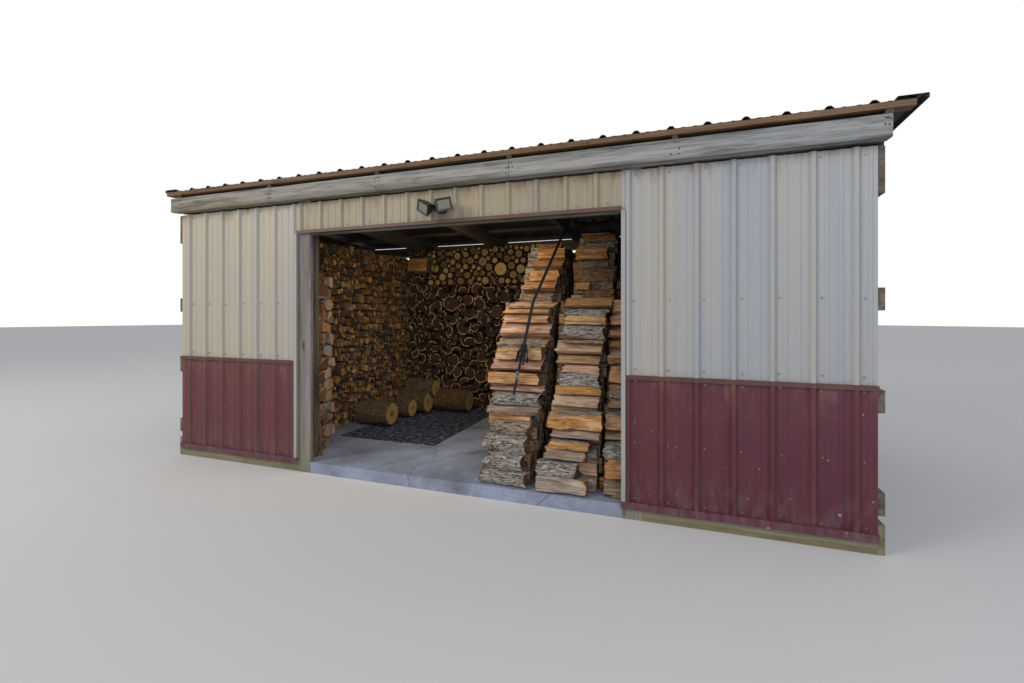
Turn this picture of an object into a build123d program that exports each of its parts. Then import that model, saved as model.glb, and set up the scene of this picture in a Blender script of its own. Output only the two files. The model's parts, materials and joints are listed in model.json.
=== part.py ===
from build123d import *
import os
from math import atan, cos, degrees, radians, sin

# Log store: an open post frame under a low single-pitch roof, with a ribbed metal front,
# a wide doorway and split firewood stacked inside.
# X runs along the front wall, +Y into the building and Z up.
# The origin is at the middle of the plan, at the lowest ground point.
# All sizes are in millimetres.

# Plan and heights
width_over_posts = 6030.0
depth_over_girts = 3048.0
floor_top = 100.0
slab_edge_inset = 4.0

# Front wall, across
left_panel_width = 1540.0
right_panel_width = 1531.0

# Front wall, heights above the floor
base_ledge_height = 31.0
base_trim_face = 51.0
wainscot_height = 934.0
wainscot_trim_face = 30.0
siding_top_height = 2400.0
door_head_drop = 300.0
header_ledge_rise = 47.0
header_trim_face = 28.0
beam_gap_over_siding = 17.0

# Ribbed metal sheets
sheet_thickness = 1.5
rib_pitch = 228.6
rib_base = 58.0
rib_top = 22.0
rib_height = 19.0
minor_rib_base = 30.0
minor_rib_top = 16.0
minor_rib_height = 3.0
wall_rib_offset = 46.0
left_wall_rib_offset = 119.0
roof_rib_offset = 135.0
sheet_gap = 0.5
trim_thickness = 1.5
trim_clearance = 4.0
jamb_trim_face = 30.0

# Timber sections
board_thickness = 38.0
post_size = 140.0
girt_height = 140.0
purlin_width = 89.0
skirt_height = 184.0
side_plate_height = 286.0
header_board_height = 235.0
jamb_board_width = 140.0
jamb_post_lap = 60.0
beam_height = 140.0
beam_thickness = 92.0
beam_joint_groove = 4.0
beam_end_overhang = 7.0
rafter_depth = 184.0

# Framing layout
girt_first_height = 140.0
girt_spacing = 627.0
girt_rows = 3
girt_end_setback = 3.0
back_post_positions = (-1005.0, 1005.0)
rafter_pitch = 1194.0
rafter_rise_above_beam = 28.0

# Roof
roof_fall_per_metre = 42.0
purlin_left_overhang = 50.0
purlin_right_overhang = 111.0
purlin_spacing = 600.0
end_purlin_proud = 6.0
roof_sheet_overhang = 2.0
roof_left_overhang = 4.0
roof_right_overhang = 53.0
rake_trim_face = 28.0
rake_trim_reach = 150.0
rake_trim_extra_length = 8.0

# Floodlight over the doorway
lamp_x = 36.0
lamp_above_header = 109.0
lamp_plate_size = 124.0
lamp_plate_depth = 40.0
lamp_head_width = 138.0
lamp_head_height = 108.0
lamp_head_depth = 88.0
lamp_back_ratio = 0.5
lamp_head_gap = 8.0
lamp_arm_radius = 9.0
lamp_neck_length = 18.0
lamp_head_inset = 14.0

# Firewood
log_length = 430.0
row_gap = 57.0
row_count = 5
row_wall_gap = 152.0
row_front_lean = 0.38
row_front_start = 20.0
row_step_height = 1440.0
row_step_back = 420.0
row_upper_lean = 0.6
first_row_courses_short = 1
course_height = 104.0
course_unevenness = 8.0
log_depth = 130.0
hump_length = 200.0
row_headroom = 70.0
back_stack_rise = 40.0
left_pillar_headroom = 450.0
back_clearance = 8.0
post_clearance = 4.0
side_clearance = 25.0
left_pillar_setback = 5.0
left_pillar_start = 215.0
left_pillar_depth = 300.0
left_stack_gap = 40.0
left_stack_lean = 0.02
stack_gap = 12.0
back_stack_left_gap = 32.0
back_stack_right_gap = 52.0
seat_gap = 0.3

# Loose things on the floor and the strap that hangs from a purlin
mat_beyond_jamb = 215.0
mat_back_gap = 18.0
mat_width = 1185.0
mat_depth = 1720.0
mat_thickness = 10.0
stick_radius = 10.0
stick_rise = 1150.0
stick_foot_from_jamb = 37.0
stick_top_run = 103.0
strap_width = 26.0
strap_thickness = 4.0
strap_foot_height = 700.0
strap_bend_rise = 40.0
strap_clearance = 45.0
strap_foot_across = 231.0
strap_bend_across = 316.0
strap_top_across = 596.0
strap_purlin = 1

# Heights above the floor that follow from the siding's top
door_head_height = siding_top_height - door_head_drop
header_ledge_height = door_head_height + header_ledge_rise
beam_bottom_height = siding_top_height + beam_gap_over_siding
lamp_height = header_ledge_height + lamp_above_header

# Places worked out from the sizes above
trim_reach = sheet_thickness + rib_height + trim_clearance + trim_thickness
lamp_spread = (lamp_head_width + lamp_head_gap) / 2
half_width = width_over_posts / 2
front_y = -depth_over_girts / 2
back_y = depth_over_girts / 2
post_front_y = front_y + board_thickness
post_back_y = back_y - board_thickness
door_left = -half_width + left_panel_width
door_right = half_width - right_panel_width
jamb_board_right = door_left + jamb_board_width
right_board_end = door_right + jamb_board_width
girt_outer_x = half_width + board_thickness
beam_half_length = girt_outer_x + beam_end_overhang
beam_front_y = front_y - beam_thickness
beam_back_y = back_y + beam_thickness
beam_bottom = floor_top + beam_bottom_height
beam_top = beam_bottom + beam_height
roof_angle = degrees(atan(roof_fall_per_metre / 1000))
rafter_front_top = beam_top + rafter_rise_above_beam
roof_run = beam_back_y - beam_front_y
roof_length = roof_run / cos(radians(roof_angle))
back_beam_drop = roof_run * roof_fall_per_metre / 1000
purlin_span = (-beam_half_length - purlin_left_overhang, beam_half_length + purlin_right_overhang)
roof_left = purlin_span[0] - roof_left_overhang
roof_right = purlin_span[1] + roof_right_overhang
slope = Location((0, beam_front_y, rafter_front_top), (-roof_angle, 0, 0))


def block(x_span, y_span, z_span):
    """A box given by its lowest and highest X, Y and Z."""
    sizes = [span[1] - span[0] for span in (x_span, y_span, z_span)]
    solid = Box(*sizes, align=(Align.MIN, Align.MIN, Align.MIN))
    return Pos(x_span[0], y_span[0], z_span[0]) * solid


def grown(solid, gap):
    """The solid's box, larger by a gap on every side."""
    box = solid.bounding_box()
    low, high = box.min, box.max
    return block((low.X - gap, high.X + gap), (low.Y - gap, high.Y + gap), (low.Z - gap, high.Z + gap))


def wave(index, spread):
    """An even, repeatable unevenness for hand-stacked pieces, between -spread and spread."""
    return spread * sin(2.4 * index + 1.7 * (index % 3))


def profile_along_x(points, x_start, x_end):
    """A solid whose section is drawn in Y and Z and runs along X."""
    section = make_face(Plane.YZ * Polyline(*points, close=True))
    return Pos(x_start, 0, 0) * extrude(section, x_end - x_start, dir=(1, 0, 0))


def ribbed_line(x_start, x_end, first_rib):
    """The outer line of a ribbed sheet: (x, height) from x_start to x_end."""
    line = [(x_start, 0.0)]
    third = rib_pitch / 3
    shapes = []
    count = int((x_end - x_start) / rib_pitch) + 3
    for index in range(-1, count):
        centre = first_rib + index * rib_pitch
        shapes.append((centre, rib_base, rib_top, rib_height))
        for step in (1, 2):
            shapes.append((centre + step * third, minor_rib_base, minor_rib_top, minor_rib_height))
    for centre, base, top, height in shapes:
        if centre - base / 2 > x_start + 1 and centre + base / 2 < x_end - 1:
            line.append((centre - base / 2, 0.0))
            line.append((centre - top / 2, height))
            line.append((centre + top / 2, height))
            line.append((centre + base / 2, 0.0))
    line.append((x_end, 0.0))
    return line


def ribbed_sheet(x_start, x_end, first_rib, length):
    """A ribbed sheet standing along Z: flat back at y = 0, ribs towards -Y."""
    outer = [(x, -sheet_thickness - height) for x, height in ribbed_line(x_start, x_end, first_rib)]
    inner = [(x, y + sheet_thickness) for x, y in reversed(outer)]
    section = make_face(Polyline(*outer, *inner, close=True))
    return extrude(section, length, dir=(0, 0, 1))


def wall_sheet(x_start, x_end, first_rib, z_start, z_end):
    """A ribbed sheet in the plane of the front wall."""
    return Pos(0, front_y, z_start) * ribbed_sheet(x_start, x_end, first_rib, z_end - z_start)


def ledge_trim(x_start, x_end, ledge_top, face):
    """A folded trim: a ledge out over the ribs and a face that turns down from it."""
    reach = front_y - trim_reach
    points = [
        (front_y, ledge_top),
        (reach, ledge_top),
        (reach, ledge_top - face),
        (reach + trim_thickness, ledge_top - face),
        (reach + trim_thickness, ledge_top - trim_thickness),
        (front_y, ledge_top - trim_thickness),
    ]
    return profile_along_x(points, x_start, x_end)


def jamb_trim(x_edge, side, z_start, z_end):
    """An upright folded trim at a doorway edge: side is 1 where the wall lies towards +X."""
    reach = front_y - trim_reach
    face_end = x_edge + side * jamb_trim_face
    points = [
        (x_edge, front_y),
        (x_edge, reach),
        (face_end, reach),
        (face_end, reach + trim_thickness),
        (x_edge + side * trim_thickness, reach + trim_thickness),
        (x_edge + side * trim_thickness, front_y),
    ]
    section = make_face(Polyline(*points, close=True))
    return Pos(0, 0, z_start) * extrude(section, z_end - z_start, dir=(0, 0, 1))


# Posts
def post(x_start, y_start, top):
    return block((x_start, x_start + post_size), (y_start, y_start + post_size), (0, top))


def underside_of_rafters(y):
    """Height of the rafters' underside above a place in the plan."""
    fall = (y - beam_front_y) * roof_fall_per_metre / 1000
    return rafter_front_top - rafter_depth / cos(radians(roof_angle)) - fall


def post_top(y_start):
    return underside_of_rafters(y_start + post_size)


front_post_top = post_top(post_front_y)
back_post_y = post_back_y - post_size
corner_x = half_width - post_size
corner_posts = [
    post(-half_width, post_front_y, front_post_top),
    post(corner_x, post_front_y, front_post_top),
    post(-half_width, back_post_y, post_top(back_post_y)),
    post(corner_x, back_post_y, post_top(back_post_y)),
]
jamb_posts = [
    post(door_left - jamb_post_lap, post_front_y, front_post_top),
    post(right_board_end + jamb_post_lap - post_size, post_front_y, front_post_top),
]
back_posts = [
    post(x - post_size / 2, back_post_y, post_top(back_post_y)) for x in back_post_positions
]
all_posts = corner_posts + jamb_posts + back_posts


# Floor and skirt boards
def floor_slab():
    side = half_width - slab_edge_inset
    inner_front = front_y + board_thickness
    slab = block((-side, side), (inner_front, post_back_y), (0, floor_top))
    sill = block((jamb_board_right, door_right), (front_y, inner_front), (0, floor_top))
    slab = slab + sill
    for upright in all_posts:
        slab = slab - grown(upright, 0.0)
    return slab


front_skirts = [
    block((-half_width, door_left), (front_y, post_front_y), (0, skirt_height)),
    block((right_board_end, half_width), (front_y, post_front_y), (0, skirt_height)),
]
girt_y_span = (front_y + girt_end_setback, back_y)
side_skirts = [
    block((-girt_outer_x, -half_width), girt_y_span, (0, skirt_height)),
    block((half_width, girt_outer_x), girt_y_span, (0, skirt_height)),
]
back_skirt = block((-half_width, half_width), (post_back_y, back_y), (0, skirt_height))


# Girts: level boards nailed over the posts
def girt_heights():
    """Bottom and top of each row of girts."""
    first = floor_top + girt_first_height
    return [
        (first + row * girt_spacing, first + row * girt_spacing + girt_height)
        for row in range(girt_rows)
    ]


def front_girts():
    girts = []
    for z_span in girt_heights():
        girts.append(block((-half_width, door_left), (front_y, post_front_y), z_span))
        girts.append(block((right_board_end, half_width), (front_y, post_front_y), z_span))
    top_span = (beam_bottom, beam_bottom + beam_height)
    girts.append(block((-half_width, half_width), (front_y, post_front_y), top_span))
    return girts


def side_girts(side):
    x_span = sorted((side * half_width, side * girt_outer_x))
    return [block(x_span, girt_y_span, z_span) for z_span in girt_heights()]


def side_plate(side):
    """The deep top board of a side wall, cut to the fall of the roof."""
    x_span = sorted((side * half_width, side * girt_outer_x))
    front, back = girt_y_span
    front_top = underside_of_rafters(front)
    back_top = underside_of_rafters(back)
    points = [
        (front, front_top),
        (front, front_top - side_plate_height),
        (back, back_top - side_plate_height),
        (back, back_top),
    ]
    return profile_along_x(points, x_span[0], x_span[1])


def back_girts():
    return [block((-half_width, half_width), (post_back_y, back_y), z_span) for z_span in girt_heights()]


back_beam_bottom = beam_bottom - back_beam_drop
back_plate = block(
    (-half_width, half_width), (post_back_y, back_y), (back_beam_bottom, back_beam_bottom + beam_height)
)


# Doorway timbers
left_jamb_board = block((door_left, jamb_board_right), (front_y, post_front_y), (0, beam_bottom))
right_jamb_board = block((door_right, right_board_end), (front_y, post_front_y), (0, beam_bottom))
header_bottom = floor_top + door_head_height
header_board = block(
    (jamb_board_right, door_right),
    (front_y, post_front_y),
    (header_bottom, header_bottom + header_board_height),
)


# Beams: two boards with a joint between them that shows along the underside
def beam(y_outer, y_wall, bottom):
    y_span = sorted((y_outer, y_wall))
    timber = block((-beam_half_length, beam_half_length), y_span, (bottom, bottom + beam_height))
    middle = (y_outer + y_wall) / 2
    groove_span = (middle - beam_joint_groove / 2, middle + beam_joint_groove / 2)
    groove = block(
        (-beam_half_length, beam_half_length), groove_span, (bottom, bottom + beam_joint_groove)
    )
    return timber - groove


front_beam = beam(beam_front_y, front_y, beam_bottom)
back_beam = beam(beam_back_y, back_y, back_beam_bottom)


# Roof: everything here is laid out on the slope, with y measured down it from the front
def on_slope(x_span, y_span, z_span):
    return slope * block(x_span, y_span, z_span)


def rafters():
    """Rafters set out from the right end of the beam, notched over both beams."""
    solids = []
    right_centre = beam_half_length - board_thickness / 2
    bays = int((2 * beam_half_length - board_thickness) / rafter_pitch)
    for index in range(bays + 1):
        centre = right_centre - index * rafter_pitch
        x_span = (centre - board_thickness / 2, centre + board_thickness / 2)
        rafter = on_slope(x_span, (0, roof_length), (-rafter_depth, 0))
        front_seat = block(x_span, (beam_front_y - board_thickness, post_front_y), (0, beam_top))
        back_seat = block(
            x_span, (post_back_y, beam_back_y + board_thickness), (0, back_beam_bottom + beam_height)
        )
        solids.append(rafter - front_seat - back_seat)
    return solids


def roof_purlins():
    """Flat boards across the rafters, between the two end purlins."""
    first = -end_purlin_proud + purlin_width
    last = roof_length + end_purlin_proud - purlin_width
    bays = max(1, round((last - first) / purlin_spacing))
    step = (last - first + purlin_width) / bays
    starts = [first - purlin_width + step * bay for bay in range(1, bays)]
    return [on_slope(purlin_span, (start, start + purlin_width), (0, board_thickness)) for start in starts]


all_rafters = rafters()
all_roof_purlins = roof_purlins()
front_purlin = on_slope(
    purlin_span,
    (-end_purlin_proud, -end_purlin_proud + purlin_width),
    (0, board_thickness),
)
back_purlin = on_slope(
    purlin_span,
    (roof_length + end_purlin_proud - purlin_width, roof_length + end_purlin_proud),
    (0, board_thickness),
)
roof_sheet_start = -end_purlin_proud - roof_sheet_overhang
roof_sheet_length = roof_length - 2 * roof_sheet_start


def roof_sheets():
    """Ribbed sheets side by side, each four ribs wide, laid on the purlins."""
    sheets = []
    cover = 4 * rib_pitch
    x_start = roof_left
    while x_start < roof_right - 1:
        x_end = min(x_start + cover, roof_right)
        sheet = ribbed_sheet(x_start, x_end - sheet_gap, x_start + roof_rib_offset, roof_sheet_length)
        flat = Location((0, roof_sheet_start, board_thickness), (-90, 0, 0)) * sheet
        sheets.append(slope * flat)
        x_start = x_end
    return sheets


def rake_trim(side):
    """A folded strip over the roof's end: a top leg on the ribs and a leg that turns down."""
    roof_end = roof_left if side < 0 else roof_right
    outer = roof_end + side * (trim_thickness + seat_gap)
    inner = outer - side * rake_trim_reach
    top = board_thickness + sheet_thickness + rib_height + seat_gap
    points = [
        (inner, top),
        (inner, top + trim_thickness),
        (outer, top + trim_thickness),
        (outer, top + trim_thickness - rake_trim_face),
        (outer - side * trim_thickness, top + trim_thickness - rake_trim_face),
        (outer - side * trim_thickness, top),
    ]
    section = make_face(Plane.XZ * Polyline(*points, close=True))
    start = roof_sheet_start - rake_trim_extra_length
    length = roof_sheet_length + 2 * rake_trim_extra_length
    strip = extrude(section, length, dir=(0, 1, 0))
    return slope * Pos(0, start, 0) * strip


# Metal of the front wall
base_ledge = floor_top + base_ledge_height
wainscot_ledge = floor_top + wainscot_height
header_ledge = floor_top + header_ledge_height
siding_top = floor_top + siding_top_height
wainscot_top = wainscot_ledge - trim_thickness - sheet_gap
left_sheet_end = door_left - trim_thickness - sheet_gap
right_sheet_start = door_right + trim_thickness + sheet_gap
left_trim_end = door_left - jamb_trim_face - sheet_gap
right_trim_start = door_right + jamb_trim_face + sheet_gap
right_first_rib = door_right + wall_rib_offset
left_first_rib = -half_width + left_wall_rib_offset
door_first_rib = right_first_rib - int((door_right - door_left) / rib_pitch) * rib_pitch

siding_left = wall_sheet(
    -half_width, left_sheet_end, left_first_rib, wainscot_ledge + sheet_gap, siding_top
)
siding_right = wall_sheet(
    right_sheet_start, half_width, right_first_rib, wainscot_ledge + sheet_gap, siding_top
)
siding_over_door = wall_sheet(
    left_sheet_end + sheet_gap, right_sheet_start - sheet_gap, door_first_rib, header_ledge + sheet_gap, siding_top
)
wainscot_left = wall_sheet(
    -half_width, left_sheet_end, left_first_rib, base_ledge + sheet_gap, wainscot_top
)
wainscot_right = wall_sheet(
    right_sheet_start, half_width, right_first_rib, base_ledge + sheet_gap, wainscot_top
)
wainscot_trims = [
    ledge_trim(-half_width, left_trim_end, wainscot_ledge, wainscot_trim_face),
    ledge_trim(right_trim_start, half_width, wainscot_ledge, wainscot_trim_face),
]
base_trims = [
    ledge_trim(-half_width, door_left, base_ledge, base_trim_face),
    ledge_trim(door_right, half_width, base_ledge, base_trim_face),
]
header_trim = ledge_trim(door_left, door_right, header_ledge, header_trim_face)
jamb_trims = [
    jamb_trim(door_left, -1, base_ledge + sheet_gap, header_ledge - header_trim_face - sheet_gap),
    jamb_trim(door_right, 1, base_ledge + sheet_gap, header_ledge - header_trim_face - sheet_gap),
]


# Floodlight: a round canopy between two major ribs of the siding and two housings on a crossbar
canopy_y = front_y - sheet_thickness - minor_rib_height - seat_gap
lamp_z = floor_top + lamp_height
crossbar_y = canopy_y - lamp_plate_depth - lamp_neck_length


def tapered_outline(width):
    """The outline of a housing from above or from the side: it widens towards its lens."""
    back = width * lamp_back_ratio / 2
    front = width / 2
    points = [(-back, 0), (back, 0), (front, -lamp_head_depth), (-front, -lamp_head_depth)]
    return make_face(Polyline(*points, close=True))


def floodlight_head(side, yaw, pitch):
    """A tapered housing that widens to its lens, on the end of the crossbar."""
    from_above = tapered_outline(lamp_head_width)
    from_side = tapered_outline(lamp_head_height)
    plan = extrude(Plane.XY * from_above, lamp_head_height / 2, both=True)
    upright = Plane(origin=(0, 0, 0), x_dir=(0, 0, 1), z_dir=(-1, 0, 0))
    elevation = extrude(upright * from_side, lamp_head_width / 2, both=True)
    housing = plan & elevation
    place = Location((lamp_x + side * lamp_spread, crossbar_y, lamp_z), (pitch, 0, yaw))
    return place * housing


def floodlight_mount(heads):
    canopy = Location((lamp_x, canopy_y, lamp_z), (90, 0, 0)) * Cylinder(
        lamp_plate_size / 2, lamp_plate_depth, align=(Align.CENTER, Align.CENTER, Align.MIN)
    )
    neck = Location((lamp_x, canopy_y - lamp_plate_depth, lamp_z), (90, 0, 0)) * Cylinder(
        lamp_arm_radius, lamp_neck_length, align=(Align.CENTER, Align.CENTER, Align.MIN)
    )
    crossbar_half = lamp_spread - lamp_head_width * lamp_back_ratio / 2 + lamp_head_inset
    crossbar = block(
        (lamp_x - crossbar_half, lamp_x + crossbar_half),
        (crossbar_y - lamp_arm_radius, crossbar_y + lamp_arm_radius),
        (lamp_z - lamp_arm_radius, lamp_z + lamp_arm_radius),
    )
    return canopy + neck + crossbar - heads


floodlight_heads = [floodlight_head(-1, -24, 20), floodlight_head(1, 10, 12)]


# Firewood: each row runs back into the store, with its logs lying across it
stack_back_y = post_back_y - back_clearance
back_stack_face = stack_back_y - log_length
row_pitch = log_length + row_gap
last_row_left = half_width - post_size - row_wall_gap - log_length
first_row_left = last_row_left - (row_count - 1) * row_pitch
left_pillar_face = door_left - left_pillar_setback
left_stack_face = left_pillar_face - log_length - left_stack_gap
left_stack_rows = int((left_stack_face + half_width - post_size) / (log_length + stack_gap))


def courses_under(headroom):
    """How many courses fit under the lowest end of the rafters."""
    return int((underside_of_rafters(stack_back_y) - floor_top - headroom) / course_height)


def course_levels(courses):
    """Bottom and top height of every course, unevenly thick."""
    tops = [
        floor_top + (index + 1) * course_height + wave(index, course_unevenness)
        for index in range(courses)
    ]
    return list(zip([floor_top] + tops, tops))


def top_outline(y_start, y_end, z_top, phase):
    """The uneven top of a stack, as the humps of its last course of logs."""
    points = []
    count = max(2, int((y_end - y_start) / hump_length))
    step = (y_end - y_start) / count
    for index in range(count):
        y = y_start + index * step
        crest = z_top + 24 + wave(index + phase, 20)
        points.append((y + 0.03 * step, z_top))
        points.append((y + 0.30 * step, crest))
        points.append((y + 0.66 * step, crest - 8))
        points.append((y + 0.97 * step, z_top + 2))
    return points


def row_set_back(height):
    """How far a row's front is raked back at a height above the floor: part way up it steps back."""
    lower = min(height, row_step_height)
    if height <= row_step_height:
        return row_front_lean * lower
    return row_front_lean * lower + row_step_back + row_upper_lean * (height - lower)


def left_set_back(height):
    """How far the front of the stacks in the left bay is raked back at a height above the floor."""
    return left_stack_lean * height


def stack_along_y(x_start, y_start, y_end, courses, set_back, phase):
    """A row of firewood: logs lie along X and the front end is set back more with its height."""
    levels = course_levels(courses)
    logs = []
    for index, (z, top) in enumerate(levels):
        face = y_start + set_back(z - floor_top) + wave(index + phase, 14)
        shift = wave(index * 2 + phase, 12)
        height = top - z
        section = [
            (face + 12, z),
            (face, z + 0.35 * height),
            (face + 16, z + 0.9 * height),
            (face + 40, top),
            (face + log_depth, top),
            (face + log_depth, z),
        ]
        logs.append(profile_along_x(section, x_start + shift, x_start + shift + log_length))
    core = []
    for index, (z, top) in enumerate(levels):
        face = y_start + set_back(z - floor_top) + wave(index + phase, 14)
        core.append((face + 60, z))
        core.append((face + 60, top))
    stack_top = levels[-1][1]
    core_front = core[-1][0]
    core.extend(top_outline(core_front + 10, y_end - 10, stack_top, phase))
    core.append((y_end, stack_top))
    core.append((y_end, floor_top))
    return profile_along_x(core, x_start + 20, x_start + log_length - 20) + logs


# The mat lies in front of the back stack
mat_left = door_left - mat_beyond_jamb
mat_back = back_stack_face - mat_back_gap
floor_mat = block(
    (mat_left, mat_left + mat_width),
    (mat_back - mat_depth, mat_back),
    (floor_top, floor_top + mat_thickness),
)


def clear_of_posts_and_mat(stack):
    """The stack with room cut in it for the posts, and for the mat where it reaches under the logs."""
    for upright in all_posts:
        stack = stack - grown(upright, post_clearance)
    return stack - grown(floor_mat, seat_gap)


def wood_row(index):
    """One of the rows beside the aisle; those behind the right-hand siding start at the posts' backs."""
    left = first_row_left + index * row_pitch
    start = front_y + row_front_start + wave(index, 20)
    if left > door_right:
        start = post_front_y + post_size + side_clearance
    elif left + row_pitch > door_right:
        start = post_front_y + row_front_start
    courses = courses_under(row_headroom)
    if index == 0:
        courses = courses - first_row_courses_short
    return clear_of_posts_and_mat(
        stack_along_y(left, start, stack_back_y, courses, row_set_back, index * 5)
    )


def left_stack():
    """Rows side by side that fill the left bay up to the rafters."""
    start = post_front_y + post_size + side_clearance
    courses = courses_under(row_headroom)
    rows = []
    for index in range(left_stack_rows):
        x_start = left_stack_face - log_length - index * (log_length + stack_gap)
        row = stack_along_y(x_start, start, stack_back_y, courses, left_set_back, 3 + 4 * index)
        rows.append(clear_of_posts_and_mat(row))
    return rows


def left_pillar():
    """The short stack beside the left jamb, in front of the full rows."""
    start = front_y + left_pillar_start
    x_start = left_pillar_face - log_length
    courses = courses_under(left_pillar_headroom)
    return clear_of_posts_and_mat(
        stack_along_y(x_start, start, start + left_pillar_depth, courses, left_set_back, 7)
    )


def back_stack():
    """The stack against the back wall, log ends to the doorway: it comes up between the rafters."""
    x_start = left_stack_face + back_stack_left_gap
    x_end = first_row_left - back_stack_right_gap
    levels = course_levels(courses_under(-back_stack_rise))
    stack_top = levels[-1][1]
    points = [(x_start, floor_top)]
    points.extend(top_outline(x_start, x_end, stack_top, 2))
    points.append((x_end, floor_top))
    section = make_face(Plane.XZ * Polyline(*points, close=True))
    stack = Pos(0, back_stack_face, 0) * extrude(section, log_length, dir=(0, 1, 0))
    for rafter in all_rafters:
        stack = stack - grown(rafter, post_clearance)
    return clear_of_posts_and_mat(stack)


# Loose rounds on the mat, lying along X: right end from the mat's left edge, middle in front of
# the mat's back edge, radius and length
loose_rounds = (
    (296.0, 1160.0, 150.0, 430.0),
    (275.0, 662.0, 120.0, 430.0),
    (351.0, 379.0, 154.0, 430.0),
    (862.0, 152.0, 160.0, 480.0),
    (330.0, 119.0, 104.0, 400.0),
)
top_round_radius = 125.0
top_round_length = 410.0
top_round_reach = 400.0


def round_log(x_end, y, z, radius, length):
    return Location((x_end - length / 2, y, z), (0, 90, 0)) * Cylinder(radius, length)


def resting_on(first, second, radius):
    """Centre (y, z) of a round that lies in the hollow between two others."""
    (y1, z1, r1), (y2, z2, r2) = first, second
    span = ((y2 - y1) ** 2 + (z2 - z1) ** 2) ** 0.5
    reach1 = r1 + radius + seat_gap
    reach2 = r2 + radius + seat_gap
    along = (span ** 2 + reach1 ** 2 - reach2 ** 2) / (2 * span)
    up = (reach1 ** 2 - along ** 2) ** 0.5
    y_dir, z_dir = (y2 - y1) / span, (z2 - z1) / span
    return y1 + along * y_dir - up * z_dir, z1 + along * z_dir + up * y_dir


def loose_logs():
    bed = floor_top + mat_thickness
    logs = []
    for reach, back, radius, length in loose_rounds:
        logs.append(round_log(mat_left + reach, mat_back - back, bed + radius, radius, length))
    carriers = [
        (mat_back - back, bed + radius, radius)
        for _, back, radius, _ in (loose_rounds[2], loose_rounds[4])
    ]
    y, z = resting_on(carriers[0], carriers[1], top_round_radius)
    logs.append(round_log(mat_left + top_round_reach, y, z, top_round_radius, top_round_length))
    return logs


def bar_between(foot, top, section):
    """A straight bar of a flat section from one point to another, its section's X along the store."""
    run = Vector(*top) - Vector(*foot)
    plane = Plane(origin=foot, x_dir=Vector(1, 0, 0).cross(run).cross(run) * -1, z_dir=run)
    return extrude(plane * section, run.length)


def leaning_stick():
    """A stick that stands beside the left jamb and leans on the post's back."""
    foot_x = jamb_board_right - stick_foot_from_jamb
    y = post_front_y + post_size + stick_radius + seat_gap
    stick = bar_between(
        (foot_x, y, floor_top - stick_radius),
        (foot_x - stick_top_run, y, floor_top + stick_rise),
        RegularPolygon(stick_radius, 8),
    )
    return stick - block(
        (foot_x - post_size, foot_x + post_size), (y - post_size, y + post_size), (0, floor_top)
    )


def hanging_strap():
    """Webbing that comes down from a purlin and lies over the raked front of the first row."""
    bend_height = row_step_height + strap_bend_rise
    foot_y = front_y + row_front_start + row_set_back(strap_foot_height) - strap_clearance
    bend_y = front_y + row_front_start + row_set_back(row_step_height) - strap_clearance
    purlin = all_roof_purlins[strap_purlin].bounding_box()
    foot = (first_row_left + strap_foot_across, foot_y, floor_top + strap_foot_height)
    bend = (first_row_left + strap_bend_across, bend_y, floor_top + bend_height)
    top = (first_row_left + strap_top_across, (purlin.min.Y + purlin.max.Y) / 2, purlin.max.Z)
    section = Rectangle(strap_width, strap_thickness)
    above_rafters = on_slope((bend[0], top[0] + purlin_width), (0, roof_length), (-seat_gap, purlin_width))
    return bar_between(foot, bend, section) + bar_between(bend, top, section) - above_rafters


nodes = {
    "floor_slab": [floor_slab()],
    "front_skirt_boards": front_skirts,
    "side_skirt_boards": side_skirts,
    "back_skirt_board": [back_skirt],
    "corner_posts": corner_posts,
    "jamb_posts": jamb_posts,
    "back_posts": back_posts,
    "left_jamb_board": [left_jamb_board],
    "right_jamb_board": [right_jamb_board],
    "header_board": [header_board],
    "front_girts": front_girts(),
    "left_side_girts": side_girts(-1),
    "right_side_girts": side_girts(1),
    "left_side_plate": [side_plate(-1)],
    "right_side_plate": [side_plate(1)],
    "back_girts": back_girts(),
    "back_plate": [back_plate],
    "front_beam": [front_beam],
    "back_beam": [back_beam],
    "rafters": all_rafters,
    "front_purlin": [front_purlin],
    "roof_purlins": all_roof_purlins,
    "back_purlin": [back_purlin],
    "roof_sheets": roof_sheets(),
    "left_rake_trim": [rake_trim(-1)],
    "right_rake_trim": [rake_trim(1)],
    "siding_left": [siding_left],
    "siding_right": [siding_right],
    "siding_over_door": [siding_over_door],
    "wainscot_left": [wainscot_left],
    "wainscot_right": [wainscot_right],
    "wainscot_trims": wainscot_trims,
    "base_trims": base_trims,
    "header_trim": [header_trim],
    "jamb_trims": jamb_trims,
    "floodlight_mount": [floodlight_mount(floodlight_heads)],
    "floodlight_heads": floodlight_heads,
    "left_firewood": left_stack(),
    "left_firewood_pillar": [left_pillar()],
    "back_firewood": [back_stack()],
    "loose_logs": loose_logs(),
    "floor_mat": [floor_mat],
    "leaning_stick": [leaning_stick()],
    "hanging_strap": [hanging_strap()],
}
for index in range(row_count):
    nodes["firewood_row_" + "abcdefgh"[index]] = [wood_row(index)]

os.makedirs("parts", exist_ok=True)
for name, solids in nodes.items():
    shapes = []
    for solid in solids:
        shapes.extend(solid.solids())
    export_step(Compound(label=name, children=shapes), "parts/" + name + ".step")
    print(name, len(shapes))
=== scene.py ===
import json
import math

import bmesh
import bpy
import numpy as np
from mathutils import Euler, Matrix, Vector

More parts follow.
